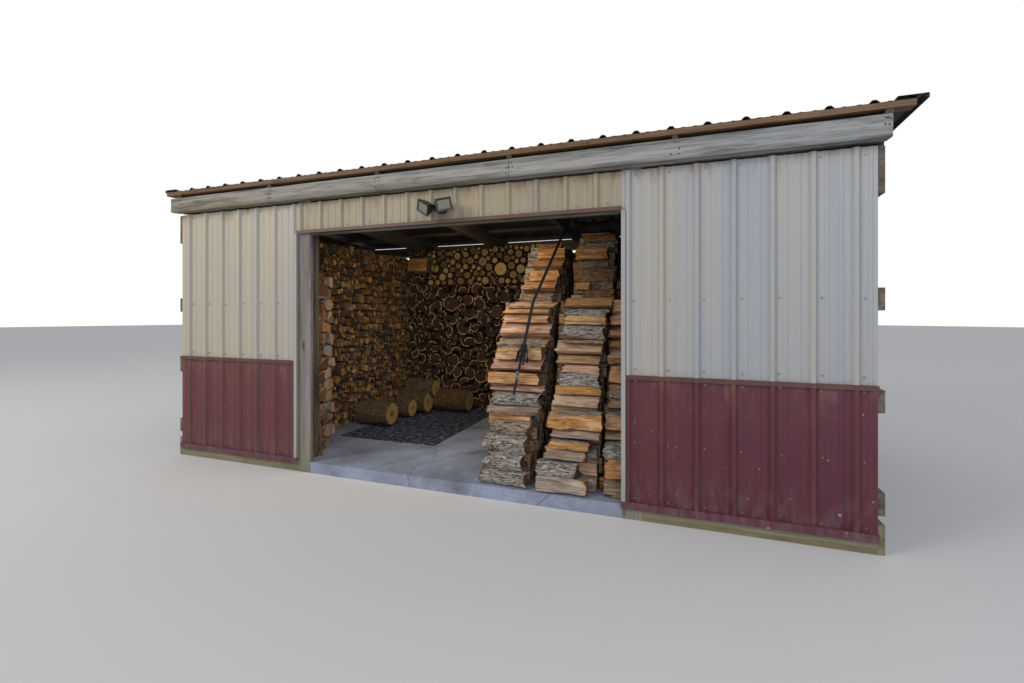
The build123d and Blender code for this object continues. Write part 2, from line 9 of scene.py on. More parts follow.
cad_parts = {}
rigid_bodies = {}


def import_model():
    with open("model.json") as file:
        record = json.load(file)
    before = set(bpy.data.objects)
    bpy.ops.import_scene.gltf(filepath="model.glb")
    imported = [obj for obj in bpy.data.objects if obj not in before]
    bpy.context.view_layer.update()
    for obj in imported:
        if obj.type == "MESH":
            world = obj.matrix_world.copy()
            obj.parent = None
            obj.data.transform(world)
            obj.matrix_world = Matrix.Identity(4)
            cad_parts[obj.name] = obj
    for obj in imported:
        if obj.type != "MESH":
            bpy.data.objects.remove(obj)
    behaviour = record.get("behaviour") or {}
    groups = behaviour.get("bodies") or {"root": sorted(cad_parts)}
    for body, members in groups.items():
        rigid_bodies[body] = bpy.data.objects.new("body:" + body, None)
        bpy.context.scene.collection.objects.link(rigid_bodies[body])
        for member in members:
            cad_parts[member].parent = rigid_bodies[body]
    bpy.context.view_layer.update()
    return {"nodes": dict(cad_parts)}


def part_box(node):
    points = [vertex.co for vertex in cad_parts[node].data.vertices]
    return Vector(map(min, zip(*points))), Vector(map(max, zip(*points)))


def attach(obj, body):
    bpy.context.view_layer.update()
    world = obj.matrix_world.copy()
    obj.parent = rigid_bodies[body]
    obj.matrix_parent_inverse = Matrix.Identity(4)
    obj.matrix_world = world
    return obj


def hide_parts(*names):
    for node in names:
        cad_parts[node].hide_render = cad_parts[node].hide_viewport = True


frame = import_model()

bl_info = {
    "name": "Open-framed log store",
    "version": (1, 0, 0),
    "blender": (4, 5, 0),
    "location": "View3D > Sidebar > Log store",
    "description": "Finishes the frame of a log store: painted metal, timber, firewood and floodlight",
    "category": "Object",
}

NODES = frame["nodes"]
RESULT = 2  # a colour Mix node's result
MIX_A, MIX_B = 6, 7  # a colour Mix node's two colours
WEBBING = 0.003  # thickness of the strap
RING_WIDTH = 0.009  # growth rings, drawn coarser than real ones so that they show
RIB_PITCH = 0.2286  # from one major rib of the siding to the next
RAFTER_PITCH = 1.194  # from one rafter to the next
PATTERN_ENDS = ("", ".001", ".002", ".003")  # what tells the four patterns of one split apart


def linear(hex_colour):
    """An sRGB hex value as a linear colour."""
    values = [int(hex_colour[start:start + 2], 16) / 255 for start in (1, 3, 5)]
    curve = [v / 12.92 if v <= 0.04045 else ((v + 0.055) / 1.055) ** 2.4 for v in values]
    return (*curve, 1.0)


def mixed_hex(colour, hex_colour, share):
    """A linear colour mixed with an sRGB hex value."""
    return [(1 - share) * a + share * b for a, b in zip(colour, linear(hex_colour))]


def length_setting(name, description, default):
    """A length in metres that a user may change."""
    return bpy.props.FloatProperty(
        name=name, description=description, default=default, min=0.0, unit="LENGTH", subtype="DISTANCE"
    )


def colour_setting(name, description, hex_colour):
    """A colour that a user may change."""
    return bpy.props.FloatVectorProperty(
        name=name, description=description, default=linear(hex_colour), size=4, subtype="COLOR", min=0, max=1
    )


class StoreSizes(bpy.types.PropertyGroup):
    """Sizes of the pieces that are fitted to the frame."""

    log_length: length_setting("Log length", "Length that the firewood is cut to", 0.43)
    log_width: length_setting("Log width", "Usual width of a split log in the rows", 0.12)
    course_height: length_setting("Course height", "Usual height of a course of logs", 0.104)
    small_split: length_setting("Small split", "Usual width of the finely split logs at the left", 0.088)
    log_gap: length_setting("Log gap", "Usual gap between two logs", 0.009)
    screw_head: length_setting("Screw head", "Width of a sheeting screw's washer", 0.014)
    nail_head: length_setting("Nail head", "Width of a framing nail's head", 0.012)
    worn_edge: length_setting("Worn edge", "Width of the rounding on old timber", 0.004)
    strap_width: length_setting("Strap width", "Width of the webbing strap", 0.026)
    row_lean: bpy.props.FloatProperty(
        name="Row lean", description="How far a row's front is set back for its height", default=0.38
    )
    row_step: length_setting("Row step", "Height at which a row's front steps back", 1.44)
    row_step_back: length_setting("Row step back", "How far a row's front steps back", 0.42)
    row_upper_lean: bpy.props.FloatProperty(
        name="Upper lean", description="Set-back for its height above the step", default=0.6
    )
    split_share: bpy.props.FloatProperty(
        name="Split share", description="Share of the logs that are split once more", default=0.6,
        subtype="FACTOR",
    )


class StoreColours(bpy.types.PropertyGroup):
    """Main colours of the store's finishes."""

    tan: colour_setting("Tan paint", "Coating of the siding", "#B8AD97")
    burgundy: colour_setting("Burgundy paint", "Coating of the wainscot", "#64302E")
    header: colour_setting("Header paint", "Faded coating of the header trim", "#543A30")
    zinc: colour_setting("Zinc", "Roof sheets and rake trims", "#8E9190")
    beam: colour_setting("Beam", "Weathered timber of the beams", "#958D78")
    jamb: colour_setting("Jamb", "Weathered timber of the doorway", "#8F8A90")
    frame_wood: colour_setting("Frame timber", "Rafters, girts and posts", "#56483A")
    treated: colour_setting("Treated timber", "Skirt boards", "#84775A")
    purlin: colour_setting("Purlin", "Purlins under the roof's edge", "#7C5830")
    concrete: colour_setting("Concrete", "Floor slab", "#949FB8")
    lamp: colour_setting("Lamp housing", "Coated housing of the floodlight", "#242426")


def sizes():
    return bpy.context.scene.store_sizes


def colours():
    return bpy.context.scene.store_colours


def deselect():
    if bpy.context.object and bpy.context.object.mode == "EDIT":
        bpy.ops.object.mode_set(mode="OBJECT")
    bpy.ops.object.select_all(action="DESELECT")


def only(piece):
    """Make one piece the only one that operators act on."""
    deselect()
    piece.select_set(True)
    bpy.context.view_layer.objects.active = piece


def apply_place(piece):
    only(piece)
    bpy.ops.object.transform_apply(location=True, rotation=True, scale=True)


def give_materials(piece, materials):
    """Put materials on a piece that has none yet, so that its faces keep their numbers in a join."""
    if not piece.data.materials:
        for material in materials:
            piece.data.materials.append(material)


def finish_piece(piece, name, materials, stands_for=()):
    """Name a piece, give it its materials and its body, and hide the nodes that it stands for."""
    apply_place(piece)
    piece.name = name
    piece.data.name = name
    give_materials(piece, materials)
    if stands_for:
        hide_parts(*stands_for)
    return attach(piece, "root")


def join(pieces):
    """Join pieces into the first one."""
    only(pieces[0])
    for piece in pieces[1:]:
        piece.select_set(True)
    if len(pieces) > 1:
        bpy.ops.object.join()
    return bpy.context.object


def copy_to(pattern, place):
    """A copy of a modelled piece with its own mesh, at a place given by a matrix."""
    copied = pattern.copy()
    copied.data = pattern.data.copy()
    bpy.context.scene.collection.objects.link(copied)
    copied.data.transform(place @ pattern.matrix_world)
    copied.matrix_world = Matrix.Identity(4)
    return copied


def node(tree, kind, links=None, stops=None, **settings):
    """Add a shader node with its settings, its inputs as values or links, and a ramp's stops."""
    made = tree.nodes.new("ShaderNode" + kind)
    for name, value in settings.items():
        setattr(made, name, value)
    for socket, source in (links or {}).items():
        if isinstance(source, bpy.types.NodeSocket):
            tree.links.new(source, made.inputs[socket])
        else:
            made.inputs[socket].default_value = source
    if stops:
        elements = made.color_ramp.elements
        while len(elements) < len(stops):
            elements.new(1.0)
        for element, (position, colour) in zip(elements, stops):
            element.position = position
            element.color = linear(colour) if isinstance(colour, str) else (colour, colour, colour, 1)
    return made


def new_material(name, roughness, metallic=0.0):
    """A material with its node tree, its shader and a place to read patterns from, in metres."""
    material = bpy.data.materials.new(name)
    material.use_nodes = True
    tree = material.node_tree
    shader = tree.nodes["Principled BSDF"]
    shader.inputs["Roughness"].default_value = roughness
    shader.inputs["Metallic"].default_value = metallic
    return material, tree, shader, node(tree, "TexCoord").outputs["Object"]


def stretched_noise(tree, place, scale, detail=4, **more):
    """Noise with its own scale, in waves to the metre, along each axis."""
    mapping = node(tree, "Mapping", {"Vector": place, "Scale": scale})
    links = {"Vector": mapping.outputs[0], "Scale": 1.0, "Detail": detail}
    links.update(more)
    return node(tree, "TexNoise", links).outputs[0]


def reach_mask(tree, place, low, high, axis="Z"):
    """0 below one place on an axis and 1 above another."""
    reach = node(tree, "SeparateXYZ", {0: place}).outputs[axis]
    return node(tree, "MapRange", {"Value": reach, "From Min": low, "From Max": high}).outputs[0]


def layer(tree, colour, over, pattern, start=None, end=None, times=None, blend="MIX"):
    """Lay a colour over another by a pattern. start and end each give a value of the pattern and the
    upper colour's share there; without them the pattern is that share. times weakens the share."""
    share = pattern
    if start:
        share = node(tree, "ValToRGB", {0: pattern}, stops=(start, end)).outputs[0]
    if times is not None:
        share = node(tree, "Math", {0: share, 1: times}, operation="MULTIPLY").outputs[0]
    if isinstance(over, str):
        over = linear(over)
    links = {0: share, MIX_A: colour, MIX_B: over}
    return node(tree, "Mix", links, data_type="RGBA", blend_type=blend).outputs[RESULT]


def dress_shader(tree, shader, colour, height=None, distance=0.0, strength=0.7):
    """Give a shader its colour, and relief from a height pattern over a distance in metres."""
    tree.links.new(colour, shader.inputs["Base Color"])
    if height is not None:
        bump = node(tree, "Bump", {"Height": height, "Distance": distance, "Strength": strength})
        tree.links.new(bump.outputs[0], shader.inputs["Normal"])


def even_stops(palette):
    """A palette's colours spread evenly along a ramp."""
    return [(index / max(1, len(palette) - 1), colour) for index, colour in enumerate(palette)]


# Roll-formed steel sheet with a baked polyester coat: a soft sheen and faded patches. Painted light:
# upright bands for the light on the ribs, and a drift from the paint at the left towards the faded colour
# at the right. Rust-brown drips below the beam (on the wainscot the same blots at its top are a painted
# reflection), grime at the foot, and painted shade on the ribs' right flanks
def coated_steel(name, paint, faded, stain_and_reflection, stain_and_reflection_low, stain_and_reflection_high, specks):
    material, tree, shader, place = new_material(name, 0.42)
    drift = stretched_noise(tree, place, (2.2, 2.2, 0.9), 3)
    drift = node(tree, "Math", {0: drift, 1: 0.35}, operation="MULTIPLY").outputs[0]
    # Painted light: the coat drifts from the paint at the left towards the cool faded colour at the right
    side = reach_mask(tree, place, -2.6, 2.2, "X")
    side = node(tree, "Math", {0: side, 1: 0.45}, operation="MULTIPLY").outputs[0]
    drift = node(tree, "Math", {0: drift, 1: side}, operation="ADD").outputs[0]
    # Painted light: upright bands of the faded colour stand in for the light and shade on the ribs
    painted_rib_light = stretched_noise(tree, place, (8, 8, 0.25), 4)
    painted_rib_light = node(tree, "Math", {0: painted_rib_light, 1: 0.45}, operation="SUBTRACT").outputs[0]
    painted_rib_light = node(tree, "Math", {0: painted_rib_light, 1: 1.3}, operation="MULTIPLY").outputs[0]
    drift = node(tree, "Math", {0: drift, 1: painted_rib_light}, operation="ADD").outputs[0]
    colour = layer(tree, paint, faded, drift, (0.1, 0.0), (0.9, 1.0))
    streaks = stretched_noise(tree, place, (70, 70, 1.3), 5)
    colour = layer(tree, colour, faded, streaks, (0.45, 0.0), (0.75, 0.3), blend="SOFT_LIGHT")
    # Blots in an upper band: rust-brown drips below the beam on the siding, and on the wainscot a painted
    # reflection in pinkish brown over its top
    stain_and_reflection_band = reach_mask(tree, place, stain_and_reflection_low, stain_and_reflection_high)
    blots = stretched_noise(tree, place, (9, 9, 3.5), 6, Distortion=0.6)
    colour = layer(tree, colour, stain_and_reflection, blots, (0.50, 0.0), (0.66, 0.7), times=stain_and_reflection_band)
    foot = reach_mask(tree, place, 0.42, 0.10)
    grime = stretched_noise(tree, place, (26, 26, 9), 6)
    colour = layer(tree, colour, "#6F6560", grime, (0.42, 0.0), (0.72, 0.55), times=foot)
    # Painted shade: the ribs' flanks that face right are drawn darker
    facing = node(tree, "NewGeometry").outputs["Normal"]
    painted_flank_shade = reach_mask(tree, facing, 0.25, 0.6, "X")
    colour = layer(tree, colour, "#55524C", painted_flank_shade, times=0.15)
    chips = stretched_noise(tree, place, (46, 46, 30), 2)
    colour = layer(tree, colour, "#C3B6A6", chips, (0.735, 0.0), (0.76, specks))
    rough = node(tree, "MapRange", {"Value": grime, "To Min": 0.36, "To Max": 0.58})
    tree.links.new(rough.outputs[0], shader.inputs["Roughness"])
    dress_shader(tree, shader, colour, stretched_noise(tree, place, (14, 14, 3), 2), 0.0015, 0.35)
    return material


# Hot-dip zinc on roof sheets: grey crystals under dark patches of leaf mould, with painted shade underneath:
# faces that look down are drawn near black and not metallic
def zinc_sheet(name, zinc):
    material, tree, shader, place = new_material(name, 0.45, 0.75)
    crystals = node(tree, "TexVoronoi", {"Vector": place, "Scale": 70}).outputs["Color"]
    grey = node(tree, "RGBToBW", {0: crystals}).outputs[0]
    colour = layer(tree, zinc, "#B4B7B6", grey, (0.0, 0.0), (1.0, 0.4))
    mould = stretched_noise(tree, place, (6, 3, 6), 8)
    mould_mask = node(tree, "ValToRGB", {0: mould}, stops=((0.46, 0.0), (0.62, 0.85))).outputs[0]
    colour = layer(tree, colour, "#4B4233", mould_mask)
    # Painted shade: the sheets' undersides are drawn near black
    facing = node(tree, "NewGeometry").outputs["Normal"]
    top = reach_mask(tree, facing, -0.6, 0.2)
    colour = layer(tree, linear("#2E2822"), colour, top)
    bare = node(tree, "Math", {0: 0.75, 1: mould_mask}, operation="SUBTRACT").outputs[0]
    bare = node(tree, "Math", {0: bare, 1: top}, operation="MULTIPLY").outputs[0]
    tree.links.new(bare, shader.inputs["Metallic"])
    rough = node(tree, "MapRange", {"Value": mould, "To Min": 0.35, "To Max": 0.85})
    tree.links.new(rough.outputs[0], shader.inputs["Roughness"])
    dress_shader(tree, shader, colour, mould, 0.003)
    return material


# Sawn softwood left outdoors: silvered fibres, dark checks and knots, green at the foot where algae
# is more than 0, and, where a cool tint for the right is given, painted light: the wood drawn towards that
# tint at the right
def sawn_timber(name, wood, dark, axis, algae=0.0, grey=0.35, right_painted_sky_light=None):
    material, tree, shader, place = new_material(name, 0.82)

    def scales(across, along):
        """One scale across the board and another along it."""
        return [along if other == axis else across for other in "xyz"]

    fibres = stretched_noise(tree, place, scales(180, 3.0), 6, Distortion=0.3)
    broad = stretched_noise(tree, place, scales(20, 3.0 / 9), 3)
    # Painted light: the wood is drawn towards a cool sky tint at the right
    if right_painted_sky_light:
        wood = layer(tree, wood, right_painted_sky_light, reach_mask(tree, place, -2.0, 2.4, "X"))
    colour = layer(tree, linear(dark), wood, fibres, (0.32, 0.0), (0.6, 1.0))
    colour = layer(tree, colour, "#A9A7A1", broad, (0.4, 0.0), (0.65, grey))
    colour = layer(tree, colour, "#7C7450", broad, (0.38, 0.4), (0.48, 0.0))
    patches = stretched_noise(tree, place, scales(16, 2.0), 7, Roughness=0.65)
    colour = layer(tree, colour, dark, patches, (0.38, 0.65), (0.50, 0.0))
    knot_place = node(tree, "Mapping", {"Vector": place, "Scale": scales(7.0, 2.2)}).outputs[0]
    knots = node(tree, "TexVoronoi", {"Vector": knot_place, "Scale": 1.0}).outputs["Distance"]
    colour = layer(tree, colour, "#43301F", knots, (0.07, 0.85), (0.14, 0.0))
    checks = stretched_noise(tree, place, scales(240, 1.6), 2)
    check_mask = node(tree, "ValToRGB", {0: checks}, stops=((0.29, 0.85), (0.35, 0.0))).outputs[0]
    colour = layer(tree, colour, "#2A2420", check_mask)
    if algae:
        foot = reach_mask(tree, place, 0.75, 0.08)
        growth = stretched_noise(tree, place, (11, 11, 5), 5)
        colour = layer(tree, colour, "#86864F", growth, (0.38, 0.0), (0.62, algae), times=foot)
    height = node(tree, "Math", {0: fibres, 1: check_mask}, operation="SUBTRACT").outputs[0]
    dress_shader(tree, shader, colour, height, 0.0022, 0.8)
    return material


# Trowelled concrete: pale paste with dark damp blots, pits, sand grains and a few hair cracks
def trowelled_concrete(name, grey):
    material, tree, shader, place = new_material(name, 0.8)
    cloud = stretched_noise(tree, place, (2.4, 2.4, 2.4), 8)
    colour = layer(tree, grey, "#6A7184", cloud, (0.35, 0.0), (0.7, 1.0))
    blots = stretched_noise(tree, place, (1.3, 1.3, 1.3), 6, Distortion=0.8)
    colour = layer(tree, colour, "#4C4B49", blots, (0.56, 0.0), (0.66, 0.6))
    pits = stretched_noise(tree, place, (9, 9, 9), 9, Roughness=0.7)
    colour = layer(tree, colour, "#4E5058", pits, (0.54, 0.0), (0.70, 0.55))
    colour = layer(tree, colour, "#B9BCC4", pits, (0.34, 0.35), (0.46, 0.0))
    sand = stretched_noise(tree, place, (260, 260, 260), 2)
    colour = layer(tree, colour, "#C8C6BE", sand, (0.42, 0.0), (0.75, 0.35))
    wander = node(tree, "TexNoise", {"Vector": place, "Scale": 5.0}).outputs[1]
    links = {"Vector": layer(tree, place, wander, 0.12), "Scale": 0.75}
    cracks = node(tree, "TexVoronoi", links, feature="DISTANCE_TO_EDGE").outputs["Distance"]
    crack_mask = node(tree, "ValToRGB", {0: cracks}, stops=((0.0015, 0.8), (0.004, 0.0))).outputs[0]
    colour = layer(tree, colour, "#3A3835", crack_mask)
    height = node(tree, "Math", {0: sand, 1: crack_mask}, operation="SUBTRACT").outputs[0]
    dress_shader(tree, shader, colour, height, 0.0012)
    return material


# Recycled rubber crumb pressed into a mat: near black with pale dust between the crumbs
def rubber_crumb(name):
    material, tree, shader, place = new_material(name, 0.85)
    crumbs = node(tree, "TexVoronoi", {"Vector": place, "Scale": 110.0}).outputs["Color"]
    grey = node(tree, "RGBToBW", {0: crumbs}).outputs[0]
    stops = ((0.0, "#0A0B10"), (0.6, "#191D2A"), (1.0, "#565E6C"))
    colour = node(tree, "ValToRGB", {0: grey}, stops=stops).outputs[0]
    dust = stretched_noise(tree, place, (18, 18, 18), 8, Roughness=0.75)
    colour = layer(tree, colour, "#7C889E", dust, (0.50, 0.0), (0.60, 0.9))
    dress_shader(tree, shader, colour, grey, 0.003)
    return material


# Die-cast housing with a dark powder coat: slight orange peel and chalked patches
def powder_coat(name, paint):
    material, tree, shader, place = new_material(name, 0.5)
    peel = stretched_noise(tree, place, (400, 400, 400), 2)
    chalk = stretched_noise(tree, place, (24, 24, 24), 6)
    colour = layer(tree, paint, "#5A564E", chalk, (0.45, 0.0), (0.75, 0.35))
    dress_shader(tree, shader, colour, peel, 0.0005)
    return material


# Moulded glass lens over a pale reflector: greenish beige with fine vertical flutes
def fluted_lens(name):
    material, tree, shader, place = new_material(name, 0.12)
    flutes = node(tree, "TexWave", {"Vector": place, "Scale": 55.0, "Distortion": 0.4}).outputs[1]
    colour = node(tree, "ValToRGB", {0: flutes}, stops=((0.0, "#5E6050"), (1.0, "#98987E"))).outputs[0]
    shader.inputs["Coat Weight"].default_value = 1.0
    dress_shader(tree, shader, colour, flutes, 0.0012)
    return material


# Plated steel of screws, nails and chain links: dull grey with a little rust
def plated_steel(name, tint):
    material, tree, shader, place = new_material(name, 0.45, 0.7)
    rust = stretched_noise(tree, place, (90, 90, 90), 4)
    colour = layer(tree, linear(tint), "#6B4530", rust, (0.5, 0.0), (0.7, 0.7))
    dress_shader(tree, shader, colour)
    return material


# Woven polyester webbing: near black, with the ribs of its weave across the strap
def woven_webbing(name):
    material, tree, shader, place = new_material(name, 0.9)
    ribs = node(tree, "TexWave", {"Vector": place, "Scale": 90.0}, bands_direction="Z").outputs[1]
    colour = node(tree, "ValToRGB", {0: ribs}, stops=((0.0, "#0B0C12"), (1.0, "#23252F"))).outputs[0]
    dress_shader(tree, shader, colour, ribs, 0.001)
    return material


def log_attributes(tree):
    """A log's own coordinates in metres, those shifted by its tone so that no two logs match, its
    random tone, and how near a cut face is to the bark."""
    grain = node(tree, "Attribute", attribute_name="grain").outputs["Vector"]
    tone = node(tree, "Attribute", attribute_name="tone").outputs["Fac"]
    rim = node(tree, "Attribute", attribute_name="rim").outputs["Fac"]
    own = node(tree, "VectorMath", {0: grain, 1: tone}, operation="ADD").outputs[0]
    return grain, own, tone, rim


# Hardwood bark: furrows along the log, grey plates with dark cracks and pale lichen
def bark(name, plates, furrows, moss, lichen_share):
    material, tree, shader, _ = new_material(name, 0.95)
    _, own, tone, _ = log_attributes(tree)
    ridges = stretched_noise(tree, own, (95, 95, 15), 8, Distortion=0.9)
    mossy = layer(tree, linear(plates), moss, tone, (0.35, 0.0), (1.0, 0.9))
    colour = layer(tree, linear(furrows), mossy, ridges, (0.38, 0.0), (0.60, 1.0))
    lichen = stretched_noise(tree, own, (80, 80, 34), 6)
    less = node(tree, "Math", {0: tone, 1: 0.12}, operation="MULTIPLY").outputs[0]
    lichen = node(tree, "Math", {0: lichen, 1: less}, operation="SUBTRACT").outputs[0]
    colour = layer(tree, colour, "#CFCDBE", lichen, (0.52, 0.0), (0.62, lichen_share))
    dress_shader(tree, shader, colour, ridges, 0.009, 0.9)
    return material


# Riven hardwood: long torn fibres, from fresh pinkish tan to weathered honey brown
def riven_wood(name, *palette):
    material, tree, shader, _ = new_material(name, 0.8)
    _, own, tone, _ = log_attributes(tree)
    fibres = stretched_noise(tree, own, (150, 150, 5), 6, Distortion=0.4)
    colour = node(tree, "ValToRGB", {0: tone}, stops=even_stops(palette)).outputs[0]
    colour = layer(tree, colour, "#5E3F22", fibres, (0.36, 0.9), (0.52, 0.0))
    patches = stretched_noise(tree, own, (22, 22, 6), 4)
    colour = layer(tree, colour, "#6E5238", patches, (0.52, 0.0), (0.68, 0.6))
    pale = stretched_noise(tree, own, (34, 34, 4), 4)
    colour = layer(tree, colour, "#E2C6A0", pale, (0.54, 0.0), (0.66, 0.5))
    dress_shader(tree, shader, colour, fibres, 0.004, 0.8)
    return material


# Sawn log ends: growth rings round the pith, saw marks and the cut edge of the bark
def sawn_ends(name, whole_rounds, broken_rim, rim_colour, *palette):
    material, tree, shader, _ = new_material(name, 0.85)
    grain, _, tone, rim = log_attributes(tree)
    axes = node(tree, "SeparateXYZ", {0: grain}).outputs
    flat = node(tree, "CombineXYZ", {"X": axes["X"], "Y": axes["Y"]}).outputs[0]
    wobble = node(tree, "TexNoise", {"Vector": flat, "Scale": 24.0, "Detail": 3}).outputs[0]
    wobble = node(tree, "Math", {0: wobble, 1: 0.012}, operation="MULTIPLY").outputs[0]
    distance = node(tree, "VectorMath", {0: flat}, operation="LENGTH").outputs["Value"]
    radius = node(tree, "Math", {0: distance, 1: wobble}, operation="ADD").outputs[0]
    turns = node(tree, "Math", {0: radius, 1: 2 * math.pi / RING_WIDTH}, operation="MULTIPLY").outputs[0]
    rings = node(tree, "Math", {0: turns}, operation="SINE").outputs[0]
    rings = node(tree, "Math", {0: rings, 1: 0.5}, operation="MULTIPLY").outputs[0]
    colour = node(tree, "ValToRGB", {0: tone}, stops=even_stops(palette)).outputs[0]
    colour = layer(tree, colour, "#4A2E18", rings, (0.0, 0.0), (0.5, 0.35))
    saw = stretched_noise(tree, grain, (60, 60, 60), 6)
    colour = layer(tree, colour, "#4A3220", saw, (0.45, 0.0), (0.75, 0.6))
    if whole_rounds:
        rim = node(tree, "Math", {0: radius, 1: rim}, operation="DIVIDE").outputs[0]
        heart = node(tree, "Math", {0: tone, 1: 0.2}, operation="MULTIPLY").outputs[0]
        heart = node(tree, "Math", {0: rim, 1: heart}, operation="ADD").outputs[0]
        colour = layer(tree, colour, "#3E2714", heart, (0.25, 0.7), (0.42, 0.0))
    edge = node(tree, "Math", {0: saw, 1: 0.12}, operation="MULTIPLY").outputs[0]
    edge = node(tree, "Math", {0: rim, 1: edge}, operation="ADD").outputs[0]
    edge_mask = node(tree, "ValToRGB", {0: edge}, stops=((0.96, 0.0), (1.0, 1.0))).outputs[0]
    if broken_rim:
        shift = node(tree, "Math", {0: tone, 1: 9.0}, operation="MULTIPLY").outputs[0]
        moved = node(tree, "VectorMath", {0: flat, 1: shift}, operation="ADD").outputs[0]
        left = node(tree, "TexNoise", {"Vector": moved, "Scale": 9.0, "Detail": 1}).outputs[0]
        left = node(tree, "ValToRGB", {0: left}, stops=((0.46, 0.0), (0.52, 1.0))).outputs[0]
        edge_mask = node(tree, "Math", {0: edge_mask, 1: left}, operation="MULTIPLY").outputs[0]
    colour = layer(tree, colour, rim_colour, edge_mask)
    dress_shader(tree, shader, colour, saw, 0.004)
    return material


def coat_node(name, material):
    """Give a CAD node's own mesh a better material."""
    piece = NODES[name]
    if not piece.material_slots:
        piece.data.materials.append(material)
    for slot in piece.material_slots:
        slot.material = material


def box_from(low, high):
    """A box between two corners, as the start of a board or plate."""
    deselect()
    middle = [(a + b) / 2 for a, b in zip(low, high)]
    bpy.ops.mesh.primitive_cube_add(size=1, location=middle)
    piece = bpy.context.object
    piece.scale = [b - a for a, b in zip(low, high)]
    apply_place(piece)
    return piece


def round_edges(piece, width, angle):
    """Round the edges that turn by more than an angle in degrees."""
    bevel = piece.modifiers.new("edges", "BEVEL")
    bevel.width = width
    bevel.segments = 2
    bevel.limit_method = "ANGLE"
    bevel.angle_limit = math.radians(angle)
    bpy.ops.object.modifier_apply(modifier=bevel.name)


def cut_across(places, normal):
    """In edit mode, cut the whole piece at each of some places."""
    for place in places:
        bpy.ops.mesh.select_all(action="SELECT")
        bpy.ops.mesh.bisect(plane_co=place, plane_no=normal)


def worn_board(low, high, seed, cuts=24):
    """A sawn board between two corners, with rounded edges and faces that aren't quite flat."""
    piece = box_from(low, high)
    longest = max(range(3), key=lambda axis: high[axis] - low[axis])
    normal = [1.0 if axis == longest else 0.0 for axis in range(3)]
    bpy.ops.object.mode_set(mode="EDIT")
    points = []
    for cut in range(1, cuts):
        point = list(low)
        point[longest] = low[longest] + (high[longest] - low[longest]) * cut / cuts
        points.append(point)
    cut_across(points, normal)
    bpy.ops.mesh.select_all(action="SELECT")
    bpy.ops.transform.vertex_random(offset=0.0012, seed=seed)
    bpy.ops.object.mode_set(mode="OBJECT")
    round_edges(piece, sizes().worn_edge, 40)
    bpy.ops.object.shade_smooth_by_angle(angle=math.radians(40))
    return piece


def select_faces(piece, wanted):
    """In edit mode, select the faces for which wanted(face) holds."""
    bpy.ops.mesh.select_mode(type="FACE")
    mesh = bmesh.from_edit_mesh(piece.data)
    for face in mesh.faces:
        face.select = bool(wanted(face))
    mesh.select_flush_mode()
    bmesh.update_edit_mesh(piece.data)


def row_set_back(height):
    """How far a row's front is set back at a height above the floor."""
    size = sizes()
    lower = min(height, size.row_step)
    back = size.row_lean * lower
    if height > size.row_step:
        back += size.row_step_back + size.row_upper_lean * (height - lower)
    return back


